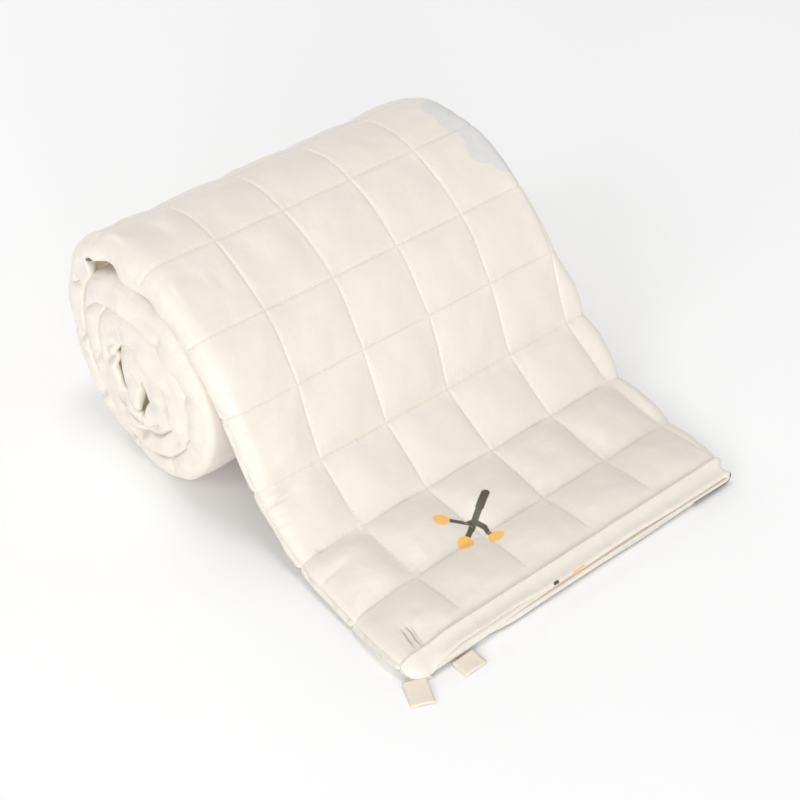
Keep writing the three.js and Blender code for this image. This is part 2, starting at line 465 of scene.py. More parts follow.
@dataclass(frozen=True)
class Crease:
    """A soft trough or ridge, from one place on the cloth to another, in squares.

    Depth is in millimetres, below zero for a ridge, and width is its half width.
    """

    across: float
    along: float
    to_across: float
    to_along: float
    depth: float
    width: float

    def drop(self, across: Array, along: Array) -> Array:
        """How far the crease sinks the cloth, in millimetres.

        Args:
            across: Places on the cloth, in squares.
            along: The same, in the other direction.

        Returns:
            Depth at each place, below zero on a ridge.
        """
        start = np.array([self.across, self.along])
        span = np.array([self.to_across, self.to_along]) - start
        length = float(span @ span)
        s = ((across - start[0]) * span[0] + (along - start[1]) * span[1]) / length
        held = np.clip(s, 0.0, 1.0)
        off_a = across - start[0] - held * span[0]
        off_b = along - start[1] - held * span[1]
        distance = np.hypot(off_a, off_b) * CELL
        taper = np.sin(math.pi * np.clip(0.12 + 0.76 * held, 0.0, 1.0))
        return self.depth * taper * np.exp(-((distance / self.width) ** 2))


# Wide, shallow ones that bend the filled squares along the open side.
SOFT_CREASES = (
    Crease(-0.62, 0.46, -0.70, -0.02, 1.5, 4.0),
    Crease(-0.30, 1.66, -0.92, 1.60, 1.1, 3.6),
    Crease(-0.25, 1.84, -0.92, 1.86, -0.7, 4.0),
    Crease(-0.45, 2.86, -0.98, 2.82, 0.9, 3.8),
    Crease(-0.55, 2.60, -0.98, 2.66, 0.7, 3.8),
    Crease(-0.35, 3.42, -1.02, 3.22, 1.1, 5.0),
    Crease(-0.10, 3.86, -0.92, 3.66, 1.0, 5.5),
    Crease(-0.15, 5.34, -0.80, 5.12, 0.8, 6.0),
    Crease(0.40, 3.30, 0.10, 3.62, 0.5, 6.0),
    Crease(2.60, 3.10, 2.95, 3.45, 0.6, 6.0),
    Crease(1.55, 5.60, 1.90, 5.20, 0.5, 7.0),
)
# Narrow ones, a thread or two wide: pinched tucks at the border and beside the seams.
FINE_CREASES = (
    Crease(-0.59, 0.41, -0.645, -0.02, 2.6, 0.7),
    Crease(-0.655, 0.40, -0.71, 0.01, 2.2, 0.7),
    Crease(-0.50, 1.97, -0.67, 2.03, 1.3, 0.9),
    Crease(-0.52, 1.68, -0.92, 1.63, 0.7, 1.5),
    Crease(-0.56, 2.80, -0.97, 2.84, 0.9, 1.4),
    Crease(-0.56, 2.89, -0.92, 2.93, -0.9, 1.6),
    Crease(-0.68, 2.62, -0.96, 2.71, 0.6, 1.5),
    Crease(-0.70, 2.50, -0.93, 2.57, 0.6, 1.5),
    Crease(-0.80, 3.98, -1.00, 4.06, 0.9, 1.2),
    Crease(-0.74, 4.32, -1.00, 4.36, 0.6, 1.4),
)


@dataclass(frozen=True)
class EndCrease:
    """A crease in the rolled end, as a line from the hem seam and the floor, in squares.

    Depth is how far it goes in and width its half width, both in millimetres.
    """

    y: float
    z: float
    to_y: float
    to_z: float
    depth: float
    width: float

    def dent(self, y: Array, z: Array) -> Array:
        """How far the crease pushes the rolled end in, in millimetres.

        Args:
            y: Distances from the hem seam, in millimetres.
            z: Heights over the floor, in millimetres.

        Returns:
            Depth at each place.
        """
        span_y, span_z = self.to_y - self.y, self.to_z - self.z
        off_y, off_z = y / CELL - self.y, z / CELL - self.z
        held = np.clip((off_y * span_y + off_z * span_z) / (span_y**2 + span_z**2), 0.0, 1.0)
        off = np.hypot(off_y - held * span_y, off_z - held * span_z) * CELL
        return self.depth * np.exp(-((off / self.width) ** 2))


END_CREASES = (
    EndCrease(6.16, 1.86, 5.86, 2.05, 3.0, 2.2),
    EndCrease(5.90, 1.20, 5.70, 1.36, 3.0, 2.0),
    EndCrease(6.06, 0.92, 5.60, 1.08, 2.6, 2.2),
    EndCrease(5.60, 1.08, 5.05, 1.40, 4.5, 2.6),
    EndCrease(5.62, 0.44, 5.42, 0.65, 3.2, 2.2),
    EndCrease(5.40, 0.32, 5.28, 0.48, 2.6, 2.0),
    EndCrease(5.10, 0.14, 4.72, 0.42, 3.6, 2.2),
    EndCrease(4.72, 0.42, 4.38, 0.74, 5.0, 2.6),
    EndCrease(5.72, 1.76, 5.45, 1.97, 4.5, 2.6),
    EndCrease(5.45, 1.97, 5.08, 2.08, 2.5, 2.4),
    EndCrease(5.42, 1.32, 5.05, 1.60, 3.0, 2.8),
    EndCrease(4.97, 1.53, 4.70, 1.72, 3.5, 3.2),
    EndCrease(4.90, 0.98, 4.98, 0.62, 3.0, 2.2),
)


# Border beyond the hem seam: distance from the seam, and the sink where it is hollow and where
# it bulges. It is a groove, a stitched ridge, the hollow or bulge, and the lip.
BORDER = (
    (0.0, 3.0, 2.4), (0.4, 2.2, 1.8), (0.9, 0.2, 0.3), (1.6, 0.0, 0.0), (2.5, 1.6, 0.4),
    (3.5, 3.0, 0.5), (5.2, 3.6, 0.2), (7.2, 2.8, 0.0), (9.0, 1.6, 0.1), (10.5, 0.7, 0.3),
    (13.0, 0.5, 0.5),
)
# Seam number, and how far the open side sinks there, as a share of the height under it.
OPEN_SIDE_SAG = (
    (-0.24, 0.12), (0.5, 0.3), (1.0, 0.36), (1.5, 0.28), (2.0, 0.18), (3.0, 0.14), (4.0, 0.0),
)
# Seam number, and how deep the seams lie there, as a share of their usual depth.
SEAM_DEPTHS = (
    (0.0, 0.75), (1.0, 1.3), (2.0, 1.5), (3.2, 1.0), (4.0, 0.7), (5.0, 0.55),
    (6.0, 0.42), (6.8, 0.36), (8.0, 0.5), (9.5, 0.6), (10.5, 0.35), (30.0, 0.35),
)


# Seam number, and the round band of the open edge there: how far it stands out, how far it turns
# down, in degrees, and how far it hangs below the pack. It tucks under the flap, and in the roll
# it fills the depth down to the next turn.
CURL_REACH = ((7.5, 10.0), (10.4, 5.0))
CURL_TURN = ((3.6, 148.0), (4.6, 140.0), (6.5, 134.0), (8.0, 116.0))
CURL_HANG = ((3.6, -1.4), (4.6, -0.6), (6.3, 1.6), (7.6, 3.8))


@dataclass
class QuiltedBlanket:
    """The one cloth of the blanket: printed face outside, folded to four layers and wound."""

    layout: Layout
    path: WindingPath
    seam_depth: float = 3.5
    seam_level: float = 4.1
    hem_seam_depth: float = 2.6
    # The stitches pull a narrow groove along each seam.
    groove_depth: float = 0.7
    groove_width: float = 0.9
    puff: float = 2.5
    layer_gap: float = 0.3
    top_share: float = 0.36
    # How much the seams fade at the open side, on the roll and on the flap, and at the right side.
    roll_fade: float = 0.75
    flap_fade: float = 0.2
    right_fade: float = 0.5
    # The lengthwise seams start at the hem with this share of their depth.
    seam_start: float = 0.52
    # Where the cloth has this half thickness, it takes the whole relief.
    relief_half: float = 2.4
    # The open side's sag sets in this far beyond the first lengthwise seam, and is full there.
    sag_reach: tuple[float, float] = (5.0, 46.0)
    # How far the hem's corner is rounded off, and how much the layers thin towards the hem.
    corner_round: float = 11.0
    hem_thinning: float = 0.36
    lip_round: float = 2.2
    hem_round: float = 1.5
    # The second open edge lies this far in, and comes out by this much at the hem.
    second_edge: float = 27.0
    second_edge_pull: float = 15.5
    # The hidden fold at the open side lies this far in, further on the roll and high on its back.
    fold_inset: float = 12.5
    roll_fold_inset: float = 4.5
    mouth_fold_inset: float = 7.0
    # How much the folded side is pressed to a boxier edge inside the roll, and the room left in it.
    fold_press: float = 0.45
    fold_room: float = 1.5
    # Columns of points: in the round band, from there to the first seam and in each square, each
    # with how closely they gather, then round the fold and under it, as shares of the way.
    band_columns: tuple[int, float] = (24, 1.1)
    border_columns: tuple[int, float] = (18, 1.35)
    square_columns: tuple[int, float] = (21, 0.115)
    fold_columns: int = 11
    under_columns: tuple[float, ...] = (0.06, 0.16, 0.3, 0.45, 0.6, 0.74, 0.86, 0.94, 1.0)
    # Round the hidden folds in degrees, and before the second open edge in millimetres.
    turn_columns: tuple[float, ...] = (20.0, 55.0, 90.0, 125.0, 160.0)
    tip_start: float = 2.4
    tip_columns: tuple[float, ...] = (2.2, 1.2, 0.6, 0.2, 0.0)
    # Beyond this distance the columns are squeezed together where the pack is narrow.
    free_columns: float = 185.0
    # The thinned turns keep this many of the last columns.
    last_columns: int = 29
    # Steps in each square along the winding, and how much closer they lie at its seams.
    flap_steps: tuple[int, float] = (22, 0.115)
    wrap_steps: tuple[int, float] = (18, 0.06)
    inner_steps: tuple[int, float] = (17, 0.03)
    flap_end: int = 5
    wrap_end: float = 12.5
    # Stations in from the hem's edge and before the end in the core, in millimetres.
    edge_steps: tuple[float, ...] = (
        0.0, 0.15, 0.5, 1.0, 1.7, 2.8, 4.6, 6.6, 8.3, 9.3, 10.2, 10.9, 11.4,
    )
    core_steps: tuple[float, ...] = (2.6, 1.4, 0.6, 0.15, 0.0)
    stiffness: float = 0.8
    # Unevenness of the filled squares, the border, the seams' lines, the two open edges, the
    # rolled end and the hem's lips.
    puckers: tuple[Ripple, ...] = (Ripple(5, 0.26, 0.22, waves=12), Ripple(6, 0.62, 0.4))
    border_wave: Ripple = Ripple(9, 0.5, 0.25)
    seam_waver: Ripple = Ripple(11, 2.1, 0.6)
    edge_waver: Ripple = Ripple(21, 2.4, 0.9)
    second_edge_waver: Ripple = Ripple(31, 3.0, 1.5)
    end_puffs: tuple[Ripple, ...] = (Ripple(25, 34.0, 1.3), Ripple(26, 17.0, 0.8))
    lip_wave: Ripple = Ripple(41, 90.0, 0.45)
    name: str = "quilted_blanket"
    creases: tuple[Crease, ...] = SOFT_CREASES
    end_creases: tuple[EndCrease, ...] = END_CREASES
    skin: dict[str, Array] = field(default_factory=dict)

    # -- Positions along the winding --------------------------------------------------------

    def _stations(self, end: float) -> Array:
        """Seam numbers of the stations: closer together at each seam and at the hem edge.

        Args:
            end: Seam number at the end in the core.

        Returns:
            Rising seam numbers.
        """
        stations = [-HEM_EDGE + np.array(self.edge_steps) / CELL]
        for row in range(int(math.ceil(end))):
            steps = self.wrap_steps if row < self.wrap_end else self.inner_steps
            stations.append(row + square_steps(*(self.flap_steps if row < self.flap_end else steps)))
        seams = np.concatenate(stations)
        seams = seams[seams < end - 4.0 / CELL]
        return np.concatenate([seams, end - np.array(self.core_steps) / CELL])

    def _read_path(self) -> dict[str, Array]:
        """Outer face, inward normal, thickness and ends of the pack at each station.

        Returns:
            The stations: one column of values for each name.
        """
        rows = self.path.rows()
        curves = [natural_spline(rows[:, 0], rows[:, k]) for k in range(1, 6)]
        seams = self._stations(rows[-1, 0])
        thick, left, right = (curve(seams) for curve in curves[2:])
        y, z = self._hinged(rows, curves, seams)
        before = self._hinged(rows, curves, seams - 0.05)
        after = self._hinged(rows, curves, seams + 0.05)
        run, rise = after[0] - before[0], after[1] - before[1]
        length = np.hypot(run, rise)
        flat = smoothstep(0.25, 1.0, seams)
        in_y, in_z = rise / length * flat, -run / length * flat - (1.0 - flat)
        angle = np.interp(seams, rows[:, 0], rows[:, 6])
        slit_y, slit_z, core = self.path.to_slit(angle, y, z)
        in_y = in_y * thick * (1.0 - core) + slit_y * core
        in_z = in_z * thick * (1.0 - core) + slit_z * core
        thick = np.where(core > 0.0, np.hypot(in_y, in_z), thick)
        length = np.hypot(in_y, in_z)
        stations = {
            "seam": seams, "y": y, "z": z, "thick": thick, "left": left, "right": right,
            "angle": angle, "in_y": in_y / length, "in_z": in_z / length,
        }
        return {name: values[:, None] for name, values in stations.items()}

    def _hinged(
        self, rows: Array, curves: list[Callable[[Array], Array]], seams: Array
    ) -> tuple[Array, Array]:
        """Outer face on the path, bent at the seams of the flap more than in its stiff squares.

        Args:
            rows: The path's table.
            curves: A smooth curve through each of its columns.
            seams: Seam numbers to read.

        Returns:
            Distance from the hem seam and height, in millimetres.
        """
        stiff = self.stiffness * smoothstep(0.6, 1.0, seams) * (1.0 - smoothstep(4.0, 5.0, seams))
        straight = [np.interp(seams, rows[:, 0], rows[:, k]) for k in (1, 2)]
        y, z = (curves[k](seams) * (1.0 - stiff) + straight[k] * stiff for k in (0, 1))
        return y, z

    def _edge_plump(self, seams: Array) -> Array:
        """Rounding of the hem edge and of the end in the core, as a part of full thickness."""
        return rounded(np.minimum(seams - seams.min(), seams.max() - seams) * CELL, self.hem_round)

    # -- Relief --------------------------------------------------------------------------------

    def _puffed(self, squares: Array) -> Array:
        """Height of a filled square between two seams: 0 on a seam, 1 over the middle."""
        t = squares - np.floor(squares)
        return 1.0 - np.abs(2.0 * t - 1.0) ** self.puff

    def _on_flap(self, along: Array) -> Array:
        """1 on the flap and 0 on the roll."""
        return 1.0 - smoothstep(3.8, 4.8, along)

    def _border(self, ahead: Array, wave: Array, hollow: Array | float = 1.0) -> Array:
        """Sink of the unfilled border beyond the hem seam: a groove, a ridge, a hollow and the lip.

        Args:
            ahead: Distance from the seam towards the edge, in millimetres.
            wave: Unevenness at the same places, in millimetres.
            hollow: 1 where the border is hollow, 0 where it bulges.

        Returns:
            Sink at each place, in millimetres.
        """
        places, hollows, bulges = zip(*BORDER)
        hollowed, bulging = np.interp(ahead, places, hollows), np.interp(ahead, places, bulges)
        return bulging + (hollowed - bulging) * hollow + wave

    def _depth(self, across: Array, along: Array) -> Array:
        """How deep the seams lie below the crowns: less where the cloth is stretched over the roll.

        Args:
            across: Places on the cloth, in squares.
            along: Seam numbers there.

        Returns:
            Depths in millimetres.
        """
        over_roll = np.interp(along, *zip(*SEAM_DEPTHS))
        at_left = self.roll_fade - (self.roll_fade - self.flap_fade) * self._on_flap(along)
        at_right = self.right_fade * smoothstep(4.0, 4.4, across)
        at_sides = (1.0 - at_left * smoothstep(0.0, 0.75, -across)) * (1.0 - at_right)
        return self.seam_depth * over_roll * at_sides

    def _relief(self, across: Array, along: Array) -> Array:
        """How far the outer face sinks below its crowns, in millimetres.

        Args:
            across: Places on the cloth, in squares.
            along: Seam numbers there.

        Returns:
            Sink at each place.
        """
        flap = self._on_flap(along)
        beside = 1.0 - flap * (1.0 - self._puffed(np.maximum(across, -1.0)))
        over = np.where(across < -0.5, beside, self._puffed(across))
        near_hem = smoothstep(0.02, 0.38, along)
        over = 1.0 - (self.seam_start + (1.0 - self.seam_start) * near_hem) * (1.0 - over)
        rows = self._puffed(along)
        depth = self._depth(across, along)
        first = (along > 0.0) & (along < 0.5)
        hem_share = np.minimum(self.hem_seam_depth / depth, 1.0)
        rows = np.where(first, 1.0 - hem_share * (1.0 - rows), rows)
        middle = plateau((-0.1, 0.3), (3.7, 4.1), across) * plateau((0.3, 1.0), (5.0, 6.6), along)
        quilted = depth * (1.0 - over * rows) + (self.seam_level - depth) * middle
        lengthwise, crosswise = (
            np.exp(-np.abs(c - np.round(c)) * CELL / self.groove_width) for c in (across, along)
        )
        lengthwise = lengthwise * np.where((across > -0.3 - flap) & (across < 4.4), 1.0, 0.0)
        crosswise = crosswise * smoothstep(-1.1 - 0.1 * flap, -1.0, across)
        quilted = quilted + self.groove_depth * np.maximum(lengthwise * near_hem, crosswise)
        puckers = sum(ripple.at(across, along) for ripple in self.puckers)
        quilted = quilted + puckers * (0.4 + 0.6 * over * rows)
        for crease in self.creases:
            quilted = quilted + crease.drop(across, along)
        wave = self.border_wave.at(across, along)
        beyond = across < -1.0
        side = self._border(np.clip(-1.0 - across, 0.0, 1.0) * CELL, wave) * flap
        quilted = np.where(beyond, np.maximum(side, 0.6 * quilted * crosswise), quilted)
        hollow = smoothstep(-0.85, -0.35, across)
        front = self._border(np.clip(-along, 0.0, 1.0) * CELL, wave, hollow)
        return np.where(along < 0.0, np.where(beyond, np.maximum(front, side), front), quilted)

    # -- Middle line of the folded cloth -------------------------------------------------------

    def _levels(self, s: dict[str, Array]) -> dict[str, Array]:
        """Depth of each layer's middle and its half thickness at each station.

        Args:
            s: Stations along the winding.

        Returns:
            The depths and half thicknesses, in millimetres.
        """
        share = 0.25 + (self.top_share - 0.25) * smoothstep(0.0, 0.5, s["seam"])
        top = share * s["thick"]
        other = (s["thick"] - top) / 3.0
        return {
            "top": top / 2.0,
            "second": top + other / 2.0,
            "third": top + 1.5 * other,
            "bottom": top + 2.5 * other,
            "top_half": (top - self.layer_gap) / 2.0,
            "half": (other - self.layer_gap) / 2.0,
        }

    def _curl(self, s: dict[str, Array], level: dict[str, Array]) -> dict[str, Array]:
        """The top layer's open edge, which bends down over the side of the pack in a round band.

        Args:
            s: Stations along the winding.
            level: Middle depths and half thicknesses of the layers.

        Returns:
            The band's middle line, and where the flat cloth starts.
        """
        count, gather = self.band_columns
        share = np.linspace(0.0, 1.0, count + 1)[None, :-1] ** gather
        seam = s["seam"]
        round_corner = self.corner_round * np.clip(-seam / HEM_EDGE - 0.1, 0.0, 1.0) ** 2.2
        left = s["left"] + level["top_half"] + round_corner + self.edge_waver.at(seam, 0.0)
        reach, last, hang = (
            np.interp(seam, *zip(*table)) for table in (CURL_REACH, CURL_TURN, CURL_HANG)
        )
        last = np.radians(last)
        core = smoothstep(self.path.core_angle - 3.0, self.path.core_angle + 15.0, s["angle"])
        lower = s["thick"] + hang * (1.0 - core) - 0.4 * core
        down = (lower - level["top"]) / (1.0 - np.cos(last)) * (1.0 - 0.5 * self._mouth(seam))
        turn = (1.0 - share) * last
        x = left + reach * (1.0 - np.abs(np.sin(turn)) ** 0.8)
        depth = level["top"] + down * (1.0 - np.cos(turn))
        x = x + self._end_relief(s, depth) * smoothstep(math.radians(35.0), math.radians(85.0), turn)
        steps = np.hypot(np.diff(x, axis=1), np.diff(depth, axis=1))
        joint = np.hypot(left + reach - x[:, -1:], level["top"] - depth[:, -1:])
        to_flat = np.cumsum(np.concatenate([joint, steps[:, ::-1]], axis=1), axis=1)[:, ::-1]
        from_tip = to_flat[:, :1] - to_flat
        across = (left + reach - to_flat) / CELL
        half = np.broadcast_to(level["top_half"], x.shape)
        tip = rounded(from_tip, self.lip_round)
        return {"x": x, "depth": depth, "across": across, "half": half * tip, "start": left + reach}

    def _end_relief(self, s: dict[str, Array], depth: Array) -> Array:
        """How far the rolled end goes in at each place: its creases, and the puffs between them.

        Args:
            s: Stations along the winding.
            depth: Depths below the outer face, in millimetres.

        Returns:
            Millimetres inwards.
        """
        y = s["y"] + s["in_y"] * depth
        z = s["z"] + s["in_z"] * depth
        in_roll = smoothstep(4.6, 5.6, s["seam"])
        relief = sum(ripple.at(y, z) for ripple in self.end_puffs)
        for crease in self.end_creases:
            relief = relief + crease.dent(y, z)
        off_seam = np.abs(s["seam"] - np.round(s["seam"])) * CELL
        pinch = np.exp(-((off_seam / 3.4) ** 2))
        deep = 0.3 + 1.1 * smoothstep(6.5, 8.5, s["seam"])
        return relief * in_roll + deep * pinch

    def _mouth(self, seam: Array) -> Array:
        """Where the outer edge stands off the layers below it, high on the back of the roll."""
        return plateau((6.5, 6.85), (7.3, 7.55), seam)

    def _skin(self, s: dict[str, Array], level: dict[str, Array], start: Array) -> dict[str, Array]:
        """Top layer, the fold round the right side and the bottom layer, as one run of cloth.

        Args:
            s: Stations along the winding.
            level: Middle depths and half thicknesses of the layers.
            start: Where the flat cloth starts at each station.

        Returns:
            The middle line of the run, and where it folds and ends.
        """
        count, gather = self.border_columns
        left_part = start * (1.0 - np.arange(1, count) / count)[None, :] ** gather
        square = square_steps(*self.square_columns)
        fine = np.concatenate([square + k for k in range(4)] + [4.0 + square[:4]])[None, :] * CELL
        radius = (level["bottom"] - level["top"]) / 2.0
        turn_at = s["right"] - level["top_half"] - radius
        turn_end = turn_at + math.pi * radius
        deeper = self.roll_fold_inset * smoothstep(5.5, 6.5, s["seam"])
        deeper = deeper + self.mouth_fold_inset * self._mouth(s["seam"])
        fold_x = s["left"] + self.fold_inset + deeper
        end = turn_end + turn_at - fold_x
        free = self.free_columns
        last = np.minimum(fine[:, -1:], turn_end - 4.0)
        squeeze = (last - free) / (fine[:, -1:] - free)
        fixed = np.where(fine > free, free + (fine - free) * squeeze, fine)
        round_fold = np.arange(1, self.fold_columns + 1)[None, :] / self.fold_columns
        under = np.array(self.under_columns)[None, :]
        run = np.concatenate([
            np.broadcast_to(left_part, (len(start), left_part.shape[1])),
            np.broadcast_to(fixed, (len(start), fixed.shape[1])),
            last + (turn_end - last) * round_fold,
            turn_end + (end - turn_end) * under,
        ], axis=1)
        angle = np.clip((run - turn_at) / radius, 0.0, math.pi)
        flatter = 1.0 - self.fold_press * smoothstep(5.5, 7.5, s["seam"])
        x = np.where(run < turn_at, run, turn_at + radius * np.sin(angle) ** flatter)
        x = np.where(run > turn_end, turn_at - (run - turn_end), x)
        depth = level["top"] + radius * (1.0 - np.cos(angle))
        mix = angle / math.pi
        half = level["top_half"] * (1.0 - mix) + level["half"] * mix
        return {"x": x, "depth": depth, "across": run / CELL, "half": half,
                "end": end, "turn_at": turn_at, "fold_x": fold_x}

    def _inside(
        self, s: dict[str, Array], level: dict[str, Array], skin: dict[str, Array]
    ) -> dict[str, Array]:
        """The two layers folded inside the pack, out to the second open edge.

        Args:
            s: Stations along the winding.
            level: Middle depths and half thicknesses of the layers.
            skin: The run of cloth outside them.

        Returns:
            Their middle line.
        """
        turns = np.radians(np.array(self.turn_columns))[None, :]
        near, far = skin["fold_x"], skin["turn_at"] - self.fold_room
        first_radius = (level["bottom"] - level["third"]) / 2.0
        first = (near - first_radius * np.sin(turns), level["third"] + first_radius * (1.0 + np.cos(turns)))
        share = np.array([0.0, 0.3, 0.8, 1.0])[None, :]
        third = (near + (far - near) * share, np.broadcast_to(level["third"], (len(near), 4)))
        radius = (level["third"] - level["second"]) / 2.0
        second_turn = (far + radius * np.sin(turns), level["second"] + radius * (1.0 + np.cos(turns)))
        reach = self.second_edge - self.second_edge_pull * (1.0 - smoothstep(0.1, 0.6, s["seam"]))
        edge = s["left"] + reach + self.second_edge_waver.at(s["seam"], 0.0)
        back = np.array([0.0, 0.3, 0.9])[None, :]
        to_tip = np.array(self.tip_columns)[None, :]
        flat_x = far + (edge + self.tip_start - far) * back
        second = (
            np.concatenate([flat_x, edge + to_tip], axis=1),
            np.broadcast_to(level["second"], (len(near), 8)),
        )
        x, depth = (
            np.concatenate([np.broadcast_to(v, (len(near), v.shape[1])) for v in parts], axis=1)
            for parts in zip(first, third, second_turn, second)
        )
        steps = np.hypot(np.diff(x, axis=1), np.diff(depth, axis=1))
        first_step = np.hypot(x[:, :1] - near, depth[:, :1] - level["bottom"])
        across = (skin["end"] + np.cumsum(np.concatenate([first_step, steps], axis=1), axis=1)) / CELL
        half = np.broadcast_to(level["half"], x.shape)
        half = half * (1.0 - 0.35 * (1.0 - self._puffed(s["seam"])))
        tip = np.ones(x.shape)
        tip[:, -5:] = rounded(to_tip, self.lip_round)
        return {"x": x, "depth": depth, "across": across, "half": half * tip}

    # -- Placing -----------------------------------------------------------------------------------

    def _hem_lips(
        self, s: dict[str, Array], level: dict[str, Array], line: dict[str, Array], curl: int, skin: int
    ) -> tuple[Array, Array, Array]:
        """Bring the four hem edges to their heights and set them back.

        Args:
            s: Stations.
            level: Middle depths and half thicknesses of the layers.
            line: Middle line of the folded cloth.
            curl: Number of columns in the round open edge.
            skin: Number of columns in the run of cloth that shows outside.

        Returns:
            New depths of the middle line, new half thicknesses and the set-backs.
        """
        x, depth, half = line["x"], line["depth"], line["half"]
        ahead = np.clip(-s["seam"] / HEM_EDGE, 0.0, 1.0)
        lower = np.clip((depth - level["top"]) / (level["bottom"] - level["top"]), 0.0, 1.0)
        lower[:, :curl] = 0.0
        column = np.arange(x.shape[1])[None, :]
        inside = column >= curl + skin
        lips = (lip.at(x) for lip in (SECOND_LIP, THIRD_LIP, TOP_LIP, BOTTOM_LIP))
        mix = np.where(inside, np.clip(2.0 - 3.0 * lower, 0.0, 1.0), 1.0 - lower)
        low, high, back = (
            np.where(inside, a * mix + b * (1.0 - mix), c * mix + d * (1.0 - mix))
            for a, b, c, d in zip(*lips)
        )
        middle = s["z"] - (low + high) / 2.0
        nominal = level["top"] * (1.0 - lower) + level["bottom"] * lower
        inner = level["second"] * mix + level["third"] * (1.0 - mix)
        shift = middle - np.where(inside, inner, nominal)
        from_floor = np.clip((s["thick"] - depth) / (s["thick"] - level["top"]), 0.0, 1.0)
        shift = np.where(column < curl, shift * from_floor, shift)
        weight = np.where(inside | (lower > 0.5), ahead**3, ahead**1.6)
        outer_half = level["top_half"] * (1.0 - lower) + level["half"] * lower
        share = half / np.where(inside, level["half"], outer_half)
        wanted = (high - low) / 2.0 * np.minimum(share, 1.0)
        half = half * (1.0 - self.hem_thinning * ahead**0.8)
        wave = self.lip_wave.at(x, 37.0 * np.round(3.0 * lower))
        return depth + shift * weight, half + (wanted - half) * weight, (back + wave) * ahead

    def _place(self, s: dict[str, Array], x: Array, depth: Array, back: Array) -> Array:
        """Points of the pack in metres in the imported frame, never below the floor.

        Args:
            s: Stations along the winding.
            x: Places along the roll, in millimetres.
            depth: Depths below the outer face, in millimetres.
            back: Set-back from the hem, in millimetres.

        Returns:
            The points.
        """
        sag = np.interp(s["seam"], *zip(*OPEN_SIDE_SAG))
        depth = depth + sag * smoothstep(*self.sag_reach, -x) * np.maximum(s["thick"] - depth, 0.0)
        y = s["y"] + s["in_y"] * depth + back
        z = s["z"] + s["in_z"] * depth
        return self.layout.place(x, y, np.maximum(z, 0.0))

    def build(self) -> bpy.types.Object:
        """Make the blanket's mesh.

        Returns:
            The blanket, as one closed piece whose faces carry slot 0 outside and 1 inside.
        """
        s = self._read_path()
        level = self._levels(s)
        curl = self._curl(s, level)
        skin = self._skin(s, level, curl["start"])
        inside = self._inside(s, level, skin)
        line = {k: np.concatenate([curl[k], skin[k], inside[k]], axis=1)
                for k in ("x", "depth", "across", "half")}
        first, shown = curl["x"].shape[1], skin["x"].shape[1]
        columns = line["x"].shape[1]
        across = line["across"]
        along = np.broadcast_to(s["seam"], across.shape)
        # The lengthwise seams run a little unevenly, as sewn ones do.
        waver = self.seam_waver.at(across, along) * plateau((-0.6, 0.0), (4.0, 4.3), across)
        line["x"] = line["x"] + waver * smoothstep(0.0, 0.3, s["seam"])
        along_x = np.gradient(line["x"], axis=1)
        along_depth = np.gradient(line["depth"], axis=1)
        length = np.hypot(along_x, along_depth)
        out_x, out_depth = along_depth / length, -along_x / length
        line["depth"], half, back = self._hem_lips(s, level, line, first, shown)
        plump = self._edge_plump(s["seam"])
        half = half * plump
        relief = np.where(np.arange(columns) < first + shown, self._relief(across, along), 0.0)
        thinnest = np.maximum(2.0 * half - 0.9 * plump, 0.0)
        half_out = half - np.minimum(relief * np.clip(half / self.relief_half, 0.0, 1.0), thinnest)
        outer = self._place(s, line["x"] + out_x * half_out, line["depth"] + out_depth * half_out, back)
        kept = self._inner_columns(first, shown, columns)
        inner_x, inner_depth = line["x"] - out_x * half, line["depth"] - out_depth * half
        inner = self._place(s, inner_x[:, kept], inner_depth[:, kept], back[:, kept])
        cloth = np.stack([across, along, np.zeros(across.shape)], axis=-1)
        self.skin = {"outer": outer, "cloth": cloth, "first": np.array(first)}
        return self._join(outer, inner, cloth, kept, first)

    def _inner_columns(self, curl: int, skin: int, columns: int) -> Array:
        """Columns that the inner face keeps: few, since it is seen only at the open ends.

        Args:
            curl: Number of columns in the round open edge.
            skin: Number of columns in the run of cloth outside.
            columns: Number of all columns.

        Returns:
            Rising column numbers.
        """
        end = curl + skin
        fold = end - self.fold_columns - len(self.under_columns)
        kept = {*range(0, curl, 2), *range(curl, fold, 7), *range(fold, end, 2), *range(end, columns)}
        return np.array(sorted(kept | {0, 1, 2, 3, columns - 1}))

